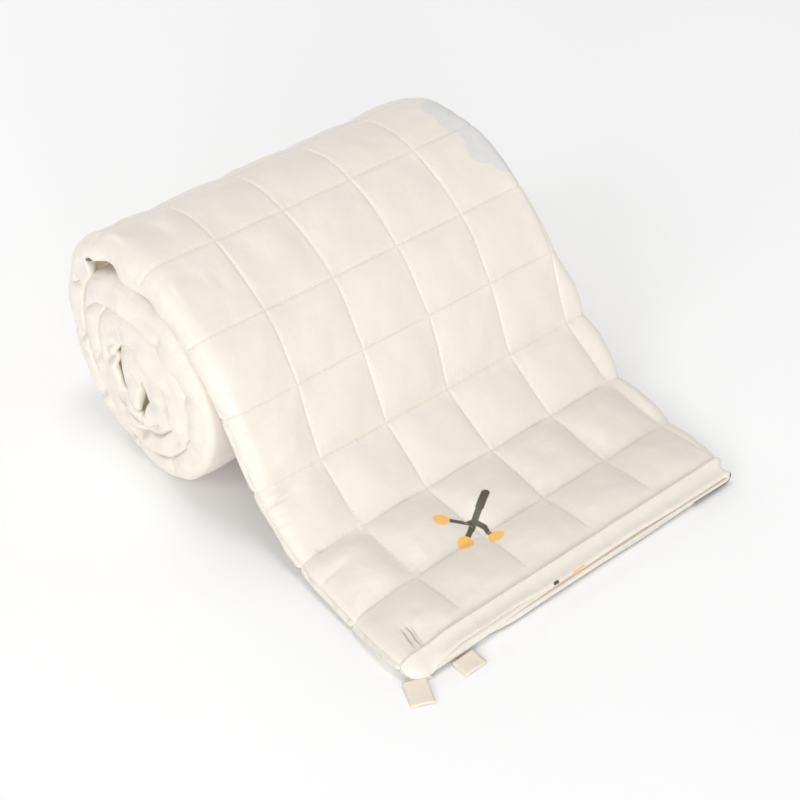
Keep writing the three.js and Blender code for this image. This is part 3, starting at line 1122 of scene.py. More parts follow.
    def _join(self, outer: Array, inner: Array, cloth: Array, kept: Array, curl: int) -> bpy.types.Object:
        """Close both faces of the cloth, its edges and its two ends into one mesh.

        Args:
            outer: Points of the outer face, one row for each station.
            inner: Points of the inner face at the kept columns.
            cloth: Cloth coordinates of the outer points.
            kept: Columns of the inner face. The turns inside the roll keep them outside too.
            curl: Number of columns in the round open edge, which stay close together everywhere.

        Returns:
            The blanket's mesh in an object.
        """
        rows, columns = outer.shape[:2]
        loop = np.concatenate([outer, inner[:, ::-1]], axis=1)
        cloth_loop = np.concatenate([cloth, cloth[:, kept][:, ::-1]], axis=1)
        ring = loop.shape[1]
        shown = int(np.searchsorted(cloth[:, 0, 1], self.wrap_end)) + 1
        last_kept = range(columns - self.last_columns, columns)
        thin_outer = np.array(sorted({*range(curl + 2), *kept.tolist(), *last_kept}))
        thin = np.concatenate([thin_outer, np.arange(columns, ring)])
        full = np.arange(shown * ring).reshape(shown, ring)
        rest = shown * ring + np.arange((rows - shown) * len(thin)).reshape(rows - shown, len(thin))
        faces: list[tuple[int, ...]] = []
        slots: list[int] = []
        for grid, outside in ((full, columns), (rest, len(thin_outer))):
            after = np.roll(grid, -1, axis=1)
            quads = np.stack([grid[:-1], after[:-1], after[1:], grid[1:]], axis=-1)
            slot = np.zeros(quads.shape[:2], int)
            slot[:, outside:] = 1
            faces += [tuple(q) for q in quads.reshape(-1, 4).tolist()]
            slots += slot.ravel().tolist()
        last = full[-1]
        for k, start in enumerate(thin.tolist()):
            n = (k + 1) % len(thin)
            stop = int(thin[n]) if n else ring
            strip = [(last[m], last[(m + 1) % ring], rest[0, k]) for m in range(start, stop)]
            strip.append((last[stop % ring], rest[0, n], rest[0, k]))
            faces += [tuple(int(v) for v in f) for f in strip]
            slots += [0 if start < columns else 1] * len(strip)
        first_cap = self._cap(full[0, :columns], full[0, columns:][::-1], kept)
        at = np.searchsorted(thin_outer, kept)
        last_cap = self._cap(rest[-1, : len(thin_outer)], rest[-1, len(thin_outer) :][::-1], at)
        faces += first_cap + [(f[0], f[2], f[1]) for f in last_cap]
        slots += [0] * (len(first_cap) + len(last_cap))
        points, grid_cloth = (
            np.concatenate([grid[:shown].reshape(-1, 3), grid[shown:, thin].reshape(-1, 3)])
            for grid in (loop, cloth_loop)
        )
        piece = link_piece(self.name, points, faces, grid_cloth * CELL)
        piece.data.polygons.foreach_set("material_index", slots)
        self._sharpen_seams(piece.data, columns, ring, grid_cloth)
        return piece

    def _sharpen_seams(self, mesh: bpy.types.Mesh, columns: int, ring: int, cloth: Array) -> None:
        """Mark the outer face's edges along its stitched seams as sharp, so that the seams shade as crisp
        folds.

        Args:
            mesh: The blanket's mesh.
            columns: Columns of the outer face in each full row of points.
            ring: Points in each full row.
            cloth: Cloth coordinates of all points, in squares.
        """
        index = np.arange(len(cloth))
        across, along = cloth[:, 0], cloth[:, 1]
        shown = (index % ring < columns) & (along < self.wrap_end - 0.5) & (across < 4.4)
        ends = np.zeros(len(mesh.edges) * 2, np.int32)
        mesh.edges.foreach_get("vertices", ends)
        a, b = ends.reshape(-1, 2).T
        both = shown[a] & shown[b]
        row = (np.abs(along - np.round(along)) < 1e-6) & (along > -0.01)
        column = (np.abs(across - np.round(across)) < 1e-6) & (along > -0.01) & (across > -0.5)
        on_row = row[a] & row[b] & (along[a] == along[b])
        on_column = column[a] & column[b] & (across[a] == across[b])
        sharp = both & (on_row | on_column)
        mesh.attributes.new("sharp_edge", "BOOLEAN", "EDGE").data.foreach_set("value", sharp)
        log.info("%d sharp seam edges", int(sharp.sum()))

    def _cap(self, outer: Array, inner: Array, kept: Array) -> list[tuple[int, ...]]:
        """Faces across one end of the cloth, from its outer to its inner points.

        Args:
            outer: Point numbers of the outer face.
            inner: Point numbers of the inner face.
            kept: The outer column over each inner point.

        Returns:
            The faces.
        """
        faces = []
        for k in range(len(kept) - 1):
            for m in range(int(kept[k]), int(kept[k + 1])):
                faces.append((int(outer[m]), int(inner[k]), int(outer[m + 1])))
            faces.append((int(outer[kept[k + 1]]), int(inner[k]), int(inner[k + 1])))
        return faces


# ---- Tape loops ---------------------------------------------------------------------------------


@dataclass
class TapeLoop:
    """A short length of cotton tape, folded over and sewn in at the hem corner."""

    name: str
    node: str
    turn: float
    width: float
    reach: float
    # From the middle of its solid to the middle of the loop, and the height it comes out at.
    shift: tuple[float, float]
    root: float
    # Length of tape that shows, laid flat. The rest is sewn into the hem.
    flat_length: float
    thick: float = 0.8
    ply_gap: float = 0.5
    steps: int = 14

    def _side_view(self) -> tuple[Array, Array]:
        """Middle of the tape seen from its side: out along the top ply, round the fold and back.

        Returns:
            Distances out and heights, in millimetres.
        """
        end = self.thick + self.ply_gap / 2.0
        flat = self.reach - end
        t = np.linspace(0.0, 1.0, self.steps)
        rise = self.root * (1.0 - t) ** 2 + end
        turns = np.radians(np.linspace(80.0, -80.0, 9))
        radius = self.ply_gap / 2.0 + self.thick / 2.0
        along = np.concatenate([t * flat, flat + radius * np.cos(turns), (t * flat)[::-1]])
        up = np.concatenate([rise + radius, end + radius * np.sin(turns), (rise - radius)[::-1]])
        return along, up

    def build(self) -> bpy.types.Object:
        """Make the tape as one closed strip, folded at its far end.

        Returns:
            The loop, lying where its solid lies.
        """
        low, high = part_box(self.node)
        centre = (low + high) / 2.0
        angle = math.radians(self.turn)
        along, up = self._side_view()
        across = np.linspace(-0.5, 0.5, 9)
        run, climb = np.gradient(along), np.gradient(up)
        length = np.hypot(run, climb)
        travelled = np.concatenate([[0.0], np.cumsum(np.hypot(np.diff(along), np.diff(up)))])
        points, cloth = [], []
        for side in (0.5, -0.5):
            out = (along - climb / length * self.thick * side)[:, None]
            height = (up + run / length * self.thick * side)[:, None]
            bow = 0.35 * np.sin(2.6 * across[None, :] * math.pi + self.turn) * (out / self.reach) ** 2
            over = np.broadcast_to(across[None, :] * self.width, bow.shape)
            ahead = self.reach / 2.0 - out
            x = over * math.cos(angle) - ahead * math.sin(angle) + self.shift[0]
            y = over * math.sin(angle) + ahead * math.cos(angle) + self.shift[1]
            z = np.maximum(height + bow, 0.0) * MM
            points.append(np.stack([centre.x + x * MM, centre.y + y * MM, z], axis=-1).reshape(-1, 3))
            flat = [over, np.broadcast_to(travelled[:, None], over.shape), 0.0 * over]
            cloth.append(np.stack(flat, axis=-1).reshape(-1, 3))
        index = np.arange(along.size * across.size).reshape(along.size, across.size)
        corners = np.stack([index[:-1, :-1], index[:-1, 1:], index[1:, 1:], index[1:, :-1]], axis=-1)
        count = index.size
        faces: list[tuple[int, ...]] = []
        for a, b, c, d in corners.reshape(-1, 4).tolist():
            faces += [(a, b, c, d), (d + count, c + count, b + count, a + count)]
        rim = np.concatenate([index[0], index[1:, -1], index[-1, ::-1][1:], index[::-1, 0][1:-1]]).tolist()
        faces += [(b, a, a + count, b + count) for a, b in zip(rim, rim[1:] + rim[:1])]
        return link_piece(self.name, np.concatenate(points), faces, np.concatenate(cloth))


# ---- Stitches -------------------------------------------------------------------------------------


@dataclass
class SeamStitching:
    """Lockstitches along the quilting seams and the hem: short threads with gaps between."""

    blanket: QuiltedBlanket
    length: float = 2.4
    gap: float = 1.1
    radius: float = 0.2
    # Height of a stitch's middle over the cloth, how much lower its ends lie, and the first one's place.
    lift: float = 0.06
    dip: float = 0.16
    first_stitch: float = 0.6
    sides: int = 5
    # Place along a stitch and its thickness there, both as a share.
    profile: tuple[tuple[float, float], ...] = (
        (0.0, 0.25), (0.12, 0.85), (0.5, 1.0), (0.88, 0.85), (1.0, 0.25),
    )
    # A station on the flap, where the pack is wide and each column keeps its own square.
    flap_station: int = 40
    # The crosswise ones run on over this many columns of the open edge's band, and to this square.
    band_columns: int = 10
    last_square: float = 4.6
    name: str = "seam_stitches"

    def _seam_runs(self) -> list[Array]:
        """Polylines of the seams on the printed face, with the cloth's outward direction.

        Returns:
            One array for each seam, with a place and a direction in each row.
        """
        outer = self.blanket.skin["outer"]
        cloth = self.blanket.skin["cloth"]
        du = np.gradient(outer, axis=1)
        dv = np.gradient(outer, axis=0)
        normal = np.cross(du, dv)
        normal /= np.linalg.norm(normal, axis=2, keepdims=True) + 1e-12
        across, along = cloth[..., 0], cloth[..., 1]
        runs = []
        first = int(self.blanket.skin["first"])
        visible = along[:, 0] < self.blanket.wrap_end
        for seam in range(5):
            j = first + int(np.argmin(np.abs(across[self.flap_station, first:] - seam)))
            keep = visible & (along[:, j] > 0.02)
            runs.append(np.concatenate([outer[keep, j], normal[keep, j]], axis=1))
        for row in range(int(self.blanket.wrap_end) + 1):
            i = int(np.argmin(np.abs(along[:, 0] - row)))
            keep = (across[i] < self.last_square) & (np.arange(across.shape[1]) > first - self.band_columns)
            runs.append(np.concatenate([outer[i, keep], normal[i, keep]], axis=1))
        return runs

    def _stitch(self, ends: Array, up: Array) -> Array:
        """Rings of points round one stitch, which dips into the cloth at both ends.

        Args:
            ends: The two places that the stitch joins.
            up: Direction out of the cloth at its middle.

        Returns:
            The points in metres.
        """
        up = up / np.linalg.norm(up)
        axis = ends[1] - ends[0]
        side = np.cross(axis, up)
        side /= np.linalg.norm(side) + 1e-12
        turn = np.arange(self.sides) / self.sides * 2.0 * math.pi
        ring = np.cos(turn)[:, None] * side + np.sin(turn)[:, None] * up
        rings = []
        for t, wide in self.profile:
            height = self.lift - self.dip * (2.0 * t - 1.0) ** 2
            rings.append(ends[0] + axis * t + up * height * MM + ring * self.radius * wide * MM)
        points = np.concatenate(rings)
        points[:, 2] = np.maximum(points[:, 2], 0.0)
        return points

    def _stitch_faces(self) -> list[tuple[int, ...]]:
        """Faces of one stitch: its sides, then its two ends.

        Returns:
            Point numbers of each face.
        """
        last = (len(self.profile) - 1) * self.sides
        faces: list[tuple[int, ...]] = []
        for ring in range(0, last, self.sides):
            for m in range(self.sides):
                n = (m + 1) % self.sides
                faces.append((ring + m, ring + n, ring + n + self.sides, ring + m + self.sides))
        faces.append(tuple(range(self.sides))[::-1])
        faces.append(tuple(range(last, last + self.sides)))
        return faces

    def build(self) -> bpy.types.Object:
        """Make the stitches as one joined mesh.

        Returns:
            The stitches, lying on the seams.
        """
        stitches: list[Array] = []
        for run in self._seam_runs():
            steps = np.linalg.norm(np.diff(run[:, :3], axis=0), axis=1) / MM
            s = np.concatenate([[0.0], np.cumsum(steps)])
            at = self.first_stitch
            while at + self.length < s[-1]:
                start, middle, stop = (
                    np.array([np.interp(v, s, run[:, k]) for k in range(6)])
                    for v in (at, at + self.length / 2.0, at + self.length)
                )
                stitches.append(self._stitch(np.stack([start[:3], stop[:3]]), middle[3:]))
                at += self.length + self.gap
        one = self._stitch_faces()
        count = len(self.profile) * self.sides
        faces = [tuple(v + k * count for v in face) for k in range(len(stitches)) for face in one]
        return link_piece(self.name, np.concatenate(stitches), faces)


# ---- Finishes ---------------------------------------------------------------------------------------


def linear(colour: str) -> Rgba:
    """Linear colour from an sRGB hex value such as "#F4ECDF".

    Args:
        colour: The hex value.

    Returns:
        Red, green, blue and full cover.
    """
    parts = [int(colour[i : i + 2], 16) / 255.0 for i in (1, 3, 5)]
    red, green, blue = (c / 12.92 if c <= 0.04045 else ((c + 0.055) / 1.055) ** 2.4 for c in parts)
    return (red, green, blue, 1.0)


MATH = "ShaderNodeMath"
VECTOR_MATH = "ShaderNodeVectorMath"
MIX = "ShaderNodeMix"
MAP_RANGE = "ShaderNodeMapRange"
NOISE = "ShaderNodeTexNoise"


class Nodes:
    """A material's node tree, with one way to add a node."""

    def __init__(self, name: str) -> None:
        """Start an empty material.

        Args:
            name: Name of the material.
        """
        self.material = bpy.data.materials.new(name)
        self.material.use_nodes = True
        self.tree = self.material.node_tree
        self.tree.nodes.clear()

    def add(
        self, kind: str, inputs: dict[str | int, object] | None = None, **settings: object
    ) -> bpy.types.Node:
        """Add a node with its settings and links.

        Args:
            kind: Blender's name for the node.
            inputs: Socket name or number, with a value or another node's output.
            settings: Properties of the node itself.

        Returns:
            The new node.
        """
        node = self.tree.nodes.new(kind)
        for key, value in settings.items():
            setattr(node, key, value)
        for key, value in (inputs or {}).items():
            socket = node.inputs[key]
            if isinstance(value, bpy.types.NodeSocket):
                self.tree.links.new(value, socket)
            else:
                socket.default_value = value
        return node


class MotifColour(Enum):
    """Colours of the printed motifs, as sRGB hex values."""

    BERRY = "#FFC768"
    STEM = "#55503F"
    CLOUD = "#DDDCDA"


@dataclass(frozen=True)
class Stroke:
    """A printed stroke with round ends, in millimetres on the cloth. Equal ends make a dot."""

    x0: float
    y0: float
    x1: float
    y1: float
    radius: float
    colour: MotifColour


@dataclass(frozen=True)
class SateenCotton:
    """Cotton sateen, woven and softly calendered: a smooth face with a low silky sheen."""

    name: str
    colour: str = "#EBE4DA"
    shade: str = "#E8E0D4"
    roughness: float = 0.38
    sheen: float = 0.15
    # Painted shade and painted glow: cloth that is covered within gap_reach metres takes a darker,
    # warmer colour and glows faintly. This stands in for light that soaks through the thin cloth, so
    # the gaps between folds look warm instead of black.
    painted_gap_shade: str = "#DFD7CA"
    painted_gap_glow: str = "#F2EAD9"
    gap_reach: float = 0.012
    painted_glow_strength: float = 0.22
    # Yarns are about 0.25 mm apart, too fine to show; drawn at 0.9 mm so that the weave reads.
    weave_pitch: float = 0.9
    # Clouds of tone are about 50 mm across, soft crinkles 11 mm, and the creases waver every 8 mm.
    cloud_scale: float = 0.02
    crinkle_scale: float = 0.09
    waver_scale: float = 0.13
    waver_size: float = 1.6
    strokes: tuple[Stroke, ...] = ()
    creases: tuple[Crease, ...] = FINE_CREASES

    def make(self) -> bpy.types.Material:
        """Build the material.

        Returns:
            A Principled BSDF cloth with print, colour variation, weave and fine puckers, and with painted
            shade and a painted glow in its covered gaps.
        """
        n = Nodes(self.name)
        cloth = n.add("ShaderNodeAttribute", attribute_name="cloth").outputs["Vector"]
        colour = self._ground(n, cloth)
        for stroke in self.strokes:
            colour = self._print(n, colour, cloth, stroke)
        # Painted shade and glow: an occlusion mask tints covered cloth towards the darker warm colour and
        # gives it a faint emission.
        around = {"Distance": self.gap_reach}
        open_sky = n.add("ShaderNodeAmbientOcclusion", around, samples=6, only_local=True).outputs["AO"]
        covered = n.add(MAP_RANGE, {"Value": open_sky, "From Min": 0.55, "From Max": 0.0}).outputs[0]
        tint = n.add(MIX, {"Factor": covered, 6: colour, 7: linear(self.painted_gap_shade)}, data_type="RGBA")
        glow = n.add(MAP_RANGE, {
            "Value": open_sky, "From Min": 0.35, "From Max": 0.0, "To Max": self.painted_glow_strength,
        })
        shader = n.add("ShaderNodeBsdfPrincipled", {
            "Base Color": tint.outputs[2],
            "Roughness": self.roughness,
            "IOR": 1.5,
            "Specular IOR Level": 0.5,
            "Normal": self._bump(n, cloth),
            "Sheen Weight": self.sheen,
            "Sheen Roughness": 0.45,
            "Emission Color": linear(self.painted_gap_glow),
            "Emission Strength": glow.outputs[0],
        })
        n.add("ShaderNodeOutputMaterial", {"Surface": shader.outputs[0]})
        return n.material

    def _ground(self, n: Nodes, cloth: bpy.types.NodeSocket) -> bpy.types.NodeSocket:
        """Cream ground, uneven by a little as dyed cloth is.

        Args:
            n: Node tree to work in.
            cloth: Place on the cloth, in millimetres.

        Returns:
            The colour.
        """
        cloud = n.add(NOISE, {"Vector": cloth, "Scale": self.cloud_scale, "Detail": 3.0})
        colours = {6: linear(self.colour), 7: linear(self.shade)}
        return n.add(MIX, {"Factor": cloud.outputs["Fac"], **colours}, data_type="RGBA").outputs[2]

    def _print(
        self, n: Nodes, under: bpy.types.NodeSocket, cloth: bpy.types.NodeSocket, stroke: Stroke
    ) -> bpy.types.NodeSocket:
        """Lay one printed stroke over the colour below it, with an edge 0.5 mm soft.

        Args:
            n: Node tree to work in.
            under: Colour below.
            cloth: Place on the cloth, in millimetres.
            stroke: The stroke to lay.

        Returns:
            The colour with the stroke on it.
        """
        distance, _ = self._distance(n, cloth, (stroke.x0, stroke.y0), (stroke.x1, stroke.y1))
        cover = n.add(MAP_RANGE, {
            "Value": distance, "From Min": stroke.radius - 0.25, "From Max": stroke.radius + 0.25,
            "To Min": 1.0, "To Max": 0.0,
        }).outputs[0]
        ink = linear(stroke.colour.value)
        return n.add(MIX, {"Factor": cover, 6: under, 7: ink}, data_type="RGBA").outputs[2]

    def _distance(
        self, n: Nodes, place: bpy.types.NodeSocket, start: tuple[float, float], stop: tuple[float, float]
    ) -> tuple[bpy.types.NodeSocket, bpy.types.NodeSocket | None]:
        """Way from a line on the cloth.

        Args:
            n: Node tree to work in.
            place: Place on the cloth, in millimetres.
            start: One end of the line.
            stop: The other end. Equal ends are a point.

        Returns:
            Distance in millimetres, and how far along the line it is met, from 0 to 1.
        """
        span = Vector((stop[0] - start[0], stop[1] - start[1], 0.0))
        off = n.add(VECTOR_MATH, {0: place, 1: (*start, 0.0)}, operation="SUBTRACT").outputs[0]
        held = None
        if span.length > 0.0:
            unit = span / span.length_squared
            share = n.add(VECTOR_MATH, {0: off, 1: unit}, operation="DOT_PRODUCT").outputs["Value"]
            held = n.add("ShaderNodeClamp", {"Value": share}).outputs[0]
            way = n.add(VECTOR_MATH, {0: span, "Scale": held}, operation="SCALE").outputs[0]
            off = n.add(VECTOR_MATH, {0: off, 1: way}, operation="SUBTRACT").outputs[0]
        return n.add(VECTOR_MATH, {0: off}, operation="LENGTH").outputs["Value"], held

    def _bump(self, n: Nodes, cloth: bpy.types.NodeSocket) -> bpy.types.NodeSocket:
        """Weave, fine crinkles and the gathers that the stitches pull across each seam.

        Args:
            n: Node tree to work in.
            cloth: Place on the cloth, in millimetres.

        Returns:
            The bent surface direction.
        """
        crinkle = n.add(NOISE, {
            "Vector": cloth, "Scale": self.crinkle_scale, "Detail": 3.0, "Roughness": 0.5,
        }).outputs["Fac"]
        height = n.add(MATH, {0: crinkle, 1: 0.8}, operation="MULTIPLY").outputs[0]
        x, y, _ = n.add("ShaderNodeSeparateXYZ", {0: cloth}).outputs
        for over, size in ((y, (0.3, 0.12, 1.0)), (x, (0.12, 0.3, 1.0))):
            stretched = n.add(VECTOR_MATH, {0: cloth, 1: size}, operation="MULTIPLY").outputs[0]
            gather = n.add(NOISE, {"Vector": stretched, "Scale": 1.0, "Detail": 2.0}).outputs["Fac"]
            off = n.add(MATH, {0: over, 1: CELL / 2.0}, operation="PINGPONG").outputs[0]
            near = n.add(MAP_RANGE, {
                "Value": off, "From Min": 0.3, "From Max": 4.5, "To Min": 0.7, "To Max": 0.0,
            }).outputs[0]
            height = n.add(MATH, {0: gather, 1: near, 2: height}, operation="MULTIPLY_ADD").outputs[0]
        weave = n.add(NOISE, {
            "Vector": cloth, "Scale": 1.0 / self.weave_pitch, "Detail": 1.0,
        }).outputs["Fac"]
        height = n.add(MATH, {0: weave, 1: 0.02, 2: height}, operation="MULTIPLY_ADD").outputs[0]
        waver = n.add(NOISE, {"Vector": cloth, "Scale": self.waver_scale, "Detail": 2.0}).outputs["Fac"]
        aside = n.add(MATH, {0: waver, 1: 0.5}, operation="SUBTRACT").outputs[0]
        size = (self.waver_size, -self.waver_size, 0.0)
        place = n.add(VECTOR_MATH, {0: aside, 1: size, 2: cloth}, operation="MULTIPLY_ADD").outputs[0]
        for crease in self.creases:
            height = self._crease(n, height, place, crease)
        bump = n.add("ShaderNodeBump", {"Height": height, "Strength": 0.7, "Distance": 0.001})
        return bump.outputs[0]

    def _crease(
        self, n: Nodes, height: bpy.types.NodeSocket, place: bpy.types.NodeSocket, crease: Crease
    ) -> bpy.types.NodeSocket:
        """Sink the bump's height along one fine crease, which fades out at both ends.

        Args:
            n: Node tree to work in.
            height: Height before the crease.
            place: Place on the cloth, in millimetres.
            crease: The crease.

        Returns:
            Height with the crease.
        """
        start = (crease.across * CELL, crease.along * CELL)
        stop = (crease.to_across * CELL, crease.to_along * CELL)
        distance, held = self._distance(n, place, start, stop)
        dip = n.add(MAP_RANGE, {
            "Value": distance, "From Min": 0.0, "From Max": 2.2 * crease.width,
            "To Min": -3.6 * crease.depth, "To Max": 0.0,
        }, interpolation_type="SMOOTHSTEP").outputs[0]
        rest = n.add(MATH, {0: 1.0, 1: held}, operation="SUBTRACT").outputs[0]
        taper = n.add(MATH, {0: held, 1: rest}, operation="MULTIPLY").outputs[0]
        return n.add(MATH, {0: dip, 1: taper, 2: height}, operation="MULTIPLY_ADD").outputs[0]


@dataclass(frozen=True)
class CottonTape:
    """Narrow woven cotton tape: matt, with a fine rib across its length.

    Real ribs are about 0.5 mm apart. They are drawn wider apart, so that they show.
    """

    name: str = "woven_cotton_tape"
    colour: str = "#EEE3D4"
    shade: str = "#E8DBC8"
    rib: float = 1.381

    def make(self) -> bpy.types.Material:
        """Build the material.

        Returns:
            A matt cloth with a ribbed bump.
        """
        n = Nodes(self.name)
        cloth = n.add("ShaderNodeAttribute", attribute_name="cloth").outputs["Vector"]
        # The wave texture turns through 20 radians in each unit of its scaled place.
        ribs = n.add("ShaderNodeTexWave", {
            "Vector": cloth, "Scale": 2.0 * math.pi / 20.0 / self.rib, "Distortion": 0.6, "Detail": 1.0,
        }, bands_direction="Y")
        tint = n.add(NOISE, {"Vector": cloth, "Scale": 0.4}).outputs["Fac"]
        colours = {6: linear(self.colour), 7: linear(self.shade)}
        mix = n.add(MIX, {"Factor": tint, **colours}, data_type="RGBA")
        bump = n.add("ShaderNodeBump", {"Height": ribs.outputs["Fac"], "Strength": 0.2, "Distance": 0.0003})
        shader = n.add("ShaderNodeBsdfPrincipled", {
            "Base Color": mix.outputs[2], "Roughness": 0.78, "Normal": bump.outputs[0], "Sheen Weight": 0.2,
        })
        n.add("ShaderNodeOutputMaterial", {"Surface": shader.outputs[0]})
        return n.material


@dataclass(frozen=True)
class PolyesterThread:
    """Spun polyester sewing thread, twisted in plies about 0.4 mm long: cream, with a faint gloss."""

    name: str = "spun_polyester_thread"
    colour: str = "#F0E6D4"
    shade: str = "#E9DDC8"
    ply: float = 0.4

    def make(self) -> bpy.types.Material:
        """Build the material.

        Returns:
            A lightly glossy thread with a twist in its bump.
        """
        n = Nodes(self.name)
        where = n.add("ShaderNodeTexCoord").outputs["Object"]
        twist = n.add(NOISE, {"Vector": where, "Scale": 1.0 / (self.ply * MM), "Detail": 1.0}).outputs["Fac"]
        colours = {6: linear(self.colour), 7: linear(self.shade)}
        mix = n.add(MIX, {"Factor": twist, **colours}, data_type="RGBA")
        bump = n.add("ShaderNodeBump", {"Height": twist, "Strength": 0.3, "Distance": 0.0001})
        shader = n.add("ShaderNodeBsdfPrincipled", {
            "Base Color": mix.outputs[2], "Roughness": 0.5, "Normal": bump.outputs[0],
        })
        n.add("ShaderNodeOutputMaterial", {"Surface": shader.outputs[0]})
        return n.material


@dataclass(frozen=True)
class PaperFloor:
    """Matt white paper sweep under the blanket."""

    name: str = "matt_white_paper"
    colour: str = "#FDFDFD"

    def make(self) -> bpy.types.Material:
        """Build the material.

        Returns:
            A plain matt white.
        """
        n = Nodes(self.name)
        shader = n.add("ShaderNodeBsdfPrincipled", {"Base Color": linear(self.colour), "Roughness": 0.9})
        n.add("ShaderNodeOutputMaterial", {"Surface": shader.outputs[0]})
        return n.material


# ---- Studio ---------------------------------------------------------------------------------------


@dataclass(frozen=True)
class SoftBox:
    """A square area light that looks at the blanket: place and size in metres, power in watts."""

    name: str
    place: tuple[float, float, float]
    size: float
    power: float
    colour: str = "#FFFFFF"


@dataclass
class Studio:
    """Pale floor, soft light and the camera."""

    lights: tuple[SoftBox, ...] = (
        SoftBox("key_left", (-1.8, -1.2, 0.5), 0.6, 8.4),
        SoftBox("key_front", (-1.0, -2.0, 0.4), 0.6, 14.0),
        SoftBox("side_left", (-1.8, 0.1, 1.3), 0.7, 5.5),
        SoftBox("top", (0.0, 0.0, 2.3), 0.7, 9.2),
        SoftBox("back", (0.1, 1.9, 1.2), 0.7, 6.2),
        SoftBox("right_fill", (1.9, -0.5, 1.0), 0.8, 1.8),
    )
    world: str = "#FFFFFF"
    world_strength: float = 0.58
    # The camera's place in millimetres on the grid, how far it turns to the right and down in
    # degrees, and its lens and sensor in millimetres.
    camera_on_grid: tuple[float, float, float] = (-490.5, -517.2, 760.9)
    yaw: float = 40.518
    pitch: float = 39.789
    lens: float = 84.23235
    sensor: float = 36.0

    def build(self, layout: Layout) -> None:
        """Make the floor, the lights, the surroundings and the camera.

        Args:
            layout: The quilting grid, which the camera is placed on.
        """
        self._floor()
        for box in self.lights:
            self._light(box)
        world = bpy.data.worlds.new("studio_surroundings")
        world.use_nodes = True
        world.node_tree.nodes["Background"].inputs[0].default_value = linear(self.world)
        world.node_tree.nodes["Background"].inputs[1].default_value = self.world_strength
        bpy.context.scene.world = world
        bpy.context.scene.view_settings.view_transform = "Standard"
        self._camera(layout)

    def _floor(self) -> None:
        """A wide flat floor just under the blanket."""
        size, drop = 12.0, -0.0002
        mesh = bpy.data.meshes.new("studio_floor")
        corners = [(-size, -size, drop), (size, -size, drop), (size, size, drop), (-size, size, drop)]
        mesh.from_pydata(corners, [], [(0, 1, 2, 3)])
        floor = bpy.data.objects.new("studio_floor", mesh)
        floor.data.materials.append(PaperFloor().make())
        bpy.context.scene.collection.objects.link(floor)

    def _light(self, box: SoftBox) -> None:
        """One soft light turned to the middle of the blanket.

        Args:
            box: The light to make.
        """
        data = bpy.data.lights.new(box.name, "AREA")
        data.shape = "SQUARE"
        data.size = box.size
        data.energy = box.power
        data.color = linear(box.colour)[:3]
        lamp = bpy.data.objects.new(box.name, data)
        lamp.location = box.place
        lamp.rotation_mode = "QUATERNION"
        lamp.rotation_quaternion = (-Vector(box.place)).to_track_quat("-Z", "Y")
        bpy.context.scene.collection.objects.link(lamp)

    def _camera(self, layout: Layout) -> None:
        """The camera, at its height and turn over the front left corner.

        Args:
            layout: The quilting grid, which it is placed on.
        """
        data = bpy.data.cameras.new("camera")
        data.sensor_width = self.sensor
        data.lens = self.lens
        data.clip_start, data.clip_end = 0.05, 60.0
        camera = bpy.data.objects.new("camera", data)
        x, y, z = self.camera_on_grid
        camera.location = ((x + layout.seam_x) * MM, (y + layout.hem_y) * MM, z * MM)
        camera.rotation_euler = (math.radians(90.0 - self.pitch), 0.0, math.radians(-self.yaw))
        bpy.context.scene.collection.objects.link(camera)
        bpy.context.scene.camera = camera


# ---- The whole ----------------------------------------------------------------------------------------


# Where the twig's stem forks, in millimetres across and along the cloth.
TWIG_PLACE = (53.0, 61.0)


def berry_twig(x: float, y: float) -> tuple[Stroke, ...]:
    """A stem that forks into three twigs with a berry each, printed around a place on the cloth.

    Args:
        x: Where the stem forks, in millimetres across the cloth.
        y: The same, along it.

    Returns:
        The strokes, berries last.
    """
    stem, berry = MotifColour.STEM, MotifColour.BERRY
    return (
        Stroke(x + 18.5, y + 11.5, x + 9.0, y + 5.5, 2.6, stem),
        Stroke(x + 9.0, y + 5.5, x, y, 2.1, stem),
        Stroke(x, y, x - 5.5, y + 3.5, 1.8, stem),
        Stroke(x - 5.5, y + 3.5, x - 12.0, y + 8.5, 1.7, stem),
        Stroke(x, y, x - 6.0, y - 4.0, 2.0, stem),
        Stroke(x - 6.0, y - 4.0, x - 12.0, y - 7.5, 1.7, stem),
        Stroke(x, y, x + 2.0, y - 7.0, 1.9, stem),
        Stroke(x + 2.0, y - 7.0, x + 1.0, y - 13.5, 1.6, stem),
        Stroke(x - 15.5, y + 11.5, x - 16.0, y + 12.0, 4.7, berry),
        Stroke(x - 15.5, y - 10.0, x - 16.0, y - 10.5, 4.9, berry),
        Stroke(x + 1.5, y - 17.5, x + 2.0, y - 18.0, 4.6, berry),
    )


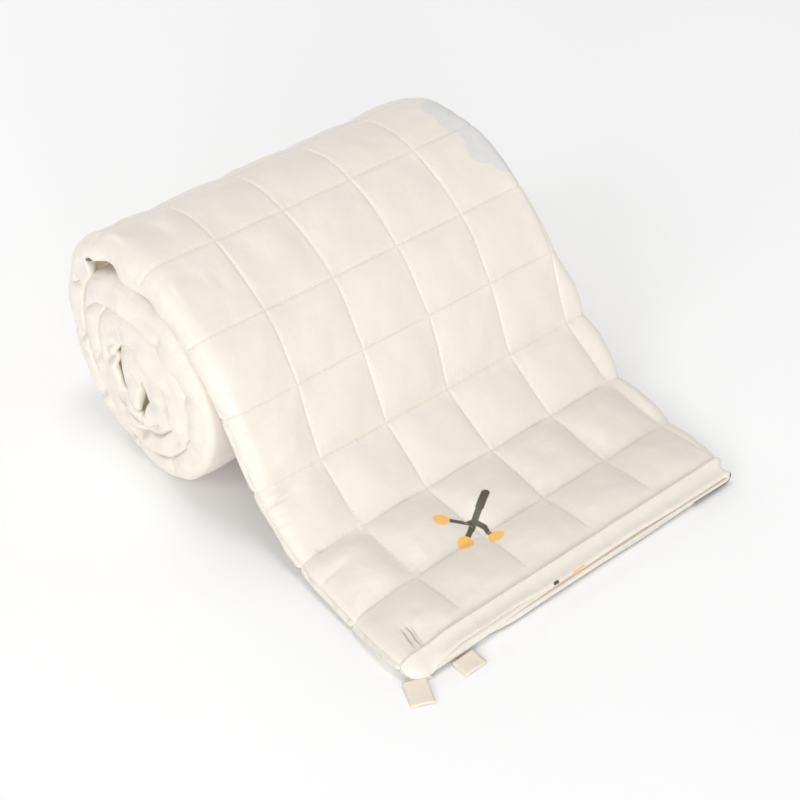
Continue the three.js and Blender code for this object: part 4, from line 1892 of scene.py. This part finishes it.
def small_prints() -> tuple[Stroke, ...]:
    """Parts of other motifs that show elsewhere: a pale cloud by the right side, and marks at the edges.

    Returns:
        The strokes.
    """
    stem, berry, cloud = MotifColour.STEM, MotifColour.BERRY, MotifColour.CLOUD
    puffs = (
        (187.0, 322.0, 9.0), (190.0, 308.0, 12.0), (196.0, 294.0, 12.0),
        (190.0, 280.0, 10.0), (198.0, 268.0, 8.0),
    )
    return tuple(Stroke(x, y, x, y, radius, cloud) for x, y, radius in puffs) + (
        Stroke(56.6, -11.6, 58.6, -11.3, 1.0, stem),
        Stroke(71.0, -12.0, 79.0, -11.8, 0.9, berry),
        Stroke(204.0, -11.4, 238.0, -11.6, 1.5, stem),
        Stroke(-56.5, 358.0, -55.5, 353.0, 0.9, stem),
    )


def dress(piece: bpy.types.Object, materials: Sequence[bpy.types.Material]) -> None:
    """Give a piece its materials and its body, and log its size.

    Args:
        piece: The piece.
        materials: Its materials, in the order of its slots.
    """
    for material in materials:
        piece.data.materials.append(material)
    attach(piece, "root")
    log.info("%s: %d vertices, %d faces", piece.name, len(piece.data.vertices), len(piece.data.polygons))


def main() -> None:
    """Build the blanket, its loops and stitches, and the studio around them."""
    logging.basicConfig(level=logging.INFO, format="%(name)s: %(message)s")
    layout = Layout.of_node("blanket")
    Studio().build(layout)

    blanket = QuiltedBlanket(layout, WindingPath())
    cloth = blanket.build()
    prints = berry_twig(*TWIG_PLACE) + small_prints()
    printed = SateenCotton("printed_cotton_sateen", strokes=prints).make()
    plain = SateenCotton("plain_cotton_sateen").make()
    dress(cloth, [printed, plain])
    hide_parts("blanket")

    stitches = SeamStitching(blanket).build()
    dress(stitches, [PolyesterThread().make()])

    tape = CottonTape().make()
    loops = (
        TapeLoop("corner_loop", "loop_top", turn=-24.0, width=14.0, reach=16.6, shift=(-1.2, 2.6),
                 root=1.2, flat_length=37.0),
        TapeLoop("hem_loop", "loop_under", turn=2.0, width=15.4, reach=11.0, shift=(0.0, -0.1),
                 root=0.7, flat_length=25.0),
    )
    for loop in loops:
        piece = loop.build()
        dress(piece, [tape])
        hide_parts(loop.node)


if __name__ == "__main__":
    main()
